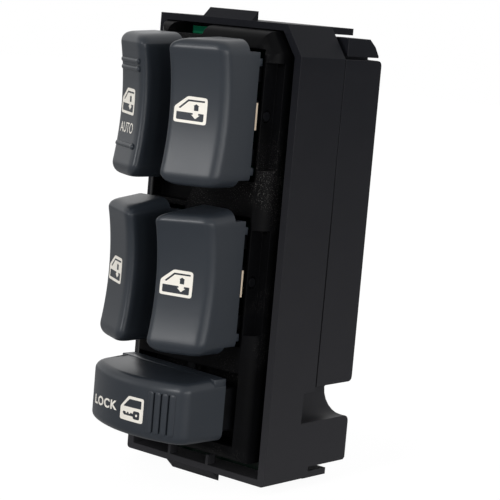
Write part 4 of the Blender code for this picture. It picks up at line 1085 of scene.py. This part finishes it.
class SWITCH_OT_stage(bpy.types.Operator):
    """Floor, background, lamps and camera"""

    bl_idname = "switch.stage"
    bl_label = "Stage"

    def execute(self, context):
        scene = context.scene
        scene.view_settings.view_transform = "Standard"
        self.make_floor(scene.switch_colours.floor)
        self.make_world()
        self.make_lamps(scene.switch_stage)
        self.make_camera(scene.switch_stage)
        return {"FINISHED"}

    def make_lamps(self, stage):
        """Area lamps, each with its power, its size and its place from the middle of the object."""
        middle = Vector((0.0, 0.0, CAD_BOX[1].z / 2))
        lamps = (
            ("front_lamp", stage.front_light, (0.28, 0.22), (0.1, -0.98, 0.27)),
            ("right_lamp", stage.right_light, (0.5, 0.5), (0.95, -0.1, 0.0)),
            ("left_lamp", stage.left_light, (0.5, 0.5), (-0.75, -0.6, 0.3)),
            ("edge_lamp", stage.edge_light, (0.22, 0.12), (0.1, -0.72, 0.62)),
            ("ridge_lamp", stage.ridge_light, (0.06, 0.5), (0.83, -0.53, -0.05)),
        )
        for name, watts, size, place in lamps:
            light = configured(bpy.data.lights.new(name, "AREA"), energy=watts, shape="RECTANGLE")
            light.size, light.size_y = size
            lamp = in_scene(name, light)
            lamp.location = middle + Vector(place)
            lamp.rotation_euler = (middle - lamp.location).to_track_quat("-Z", "Y").to_euler()

    def make_camera(self, stage):
        """Camera at the photo's place, with the photo's turn."""
        data = bpy.data.cameras.new("photo_camera")
        configured(data, lens=stage.lens, sensor_width=SENSOR_WIDTH, clip_start=10 * MM)
        camera = in_scene("photo_camera", data)
        turn = Matrix.Rotation(stage.azimuth, 4, "Z")
        turn = turn @ Matrix.Rotation(math.pi / 2 - stage.elevation, 4, "X")
        turn = turn @ Matrix.Rotation(stage.roll, 4, "Z")
        base = Vector((0.0, RIM, HOUSING_LOW.z + WEDGE_DROP))
        camera.matrix_world = Matrix.Translation(base + Vector(stage.place)) @ turn
        bpy.context.scene.camera = camera

    def make_floor(self, rgb):
        """Pale floor that is white to the camera except where the object's shadow falls, near its foot."""
        side = np.linspace(-FLOOR_HALF, FLOOR_HALF, FLOOR_LINES)
        x, y = np.meshgrid(side, side, indexing="ij")
        mesh = bpy.data.meshes.new("floor")
        points = np.stack([x, y, np.zeros_like(x)], 2).reshape(-1, 3)
        mesh.from_pydata(points.tolist(), [], grid_faces(FLOOR_LINES, FLOOR_LINES).tolist())
        floor = in_scene("floor", mesh)
        finish = Finish("floor_finish")
        finish.set("Roughness", 0.9)
        finish.set("Base Color", finish.mix(finish.noise(3.0, 2.0, 0.5) * 0.1, rgb, shade(rgb, 0.97)))
        away = finish.add("ShaderNodeVectorMath", {0: finish.place()}, 1, operation="LENGTH")
        share = FLOOR_SHARE + FLOOR_SHARE_AWAY * finish.ramp(away, SHADOW_NEAR, SHADOW_FAR)
        white = finish.add("ShaderNodeEmission", {"Strength": FLOOR_WHITE})
        lit = Wire(finish, finish.shader.outputs[0])
        mixed = finish.add("ShaderNodeMixShader", {0: share * finish.ray("Camera"), 1: lit, 2: white})
        finish.fill(finish.tree.nodes["Material Output"].inputs["Surface"], mixed)
        mesh.materials.append(finish.material)

    def make_world(self):
        """White to the camera, in gloss and through glass; plain soft light otherwise."""
        world = bpy.data.worlds.new("studio")
        bpy.context.scene.world = world
        world.use_nodes = True
        nodes = Nodes(world.node_tree)
        seen = nodes.ray("Camera")
        for kind in ("Glossy", "Transmission"):
            seen = seen.maths("MAXIMUM", nodes.ray(kind))
        strength = nodes.add("ShaderNodeMapRange", {"Value": seen, "To Min": WORLD_LIGHT, "To Max": 1.0})
        background = world.node_tree.nodes["Background"].inputs
        nodes.fill(background["Strength"], strength)
        nodes.fill(background["Color"], (1.0, 1.0, 1.0))


class SWITCH_PT_panel(bpy.types.Panel):
    """Sizes, colours and steps of the switch"""

    bl_idname = "SWITCH_PT_panel"
    bl_label = "Window and lock switch"
    bl_space_type = "VIEW_3D"
    bl_region_type = "UI"
    bl_category = "Switch"

    def draw(self, context):
        for operator in OPERATORS:
            self.layout.operator(operator.bl_idname)
        for group in (context.scene.switch_sizes, context.scene.switch_colours, context.scene.switch_stage):
            box = self.layout.box()
            for name in group.__annotations__:
                box.prop(group, name)


GROUPS = {"switch_sizes": SwitchSizes, "switch_colours": SwitchColours, "switch_stage": SwitchStage}
OPERATORS = (
    SWITCH_OT_case,
    SWITCH_OT_inside,
    SWITCH_OT_connector,
    SWITCH_OT_window_keys,
    SWITCH_OT_lock_key,
    SWITCH_OT_legends,
    SWITCH_OT_stage,
)


def register():
    for name, group in GROUPS.items():
        bpy.utils.register_class(group)
        setattr(bpy.types.Scene, name, PointerProperty(type=group))
    for operator in OPERATORS:
        bpy.utils.register_class(operator)
    bpy.utils.register_class(SWITCH_PT_panel)


def unregister():
    bpy.utils.unregister_class(SWITCH_PT_panel)
    for operator in reversed(OPERATORS):
        bpy.utils.unregister_class(operator)
    for name, group in GROUPS.items():
        delattr(bpy.types.Scene, name)
        bpy.utils.unregister_class(group)


def main():
    """Make every piece and the stage."""
    register()
    bpy.ops.switch.case()
    bpy.ops.switch.inside()
    bpy.ops.switch.connector()
    bpy.ops.switch.window_keys()
    bpy.ops.switch.lock_key()
    bpy.ops.switch.legends()
    bpy.ops.switch.stage()


if __name__ == "__main__":
    main()
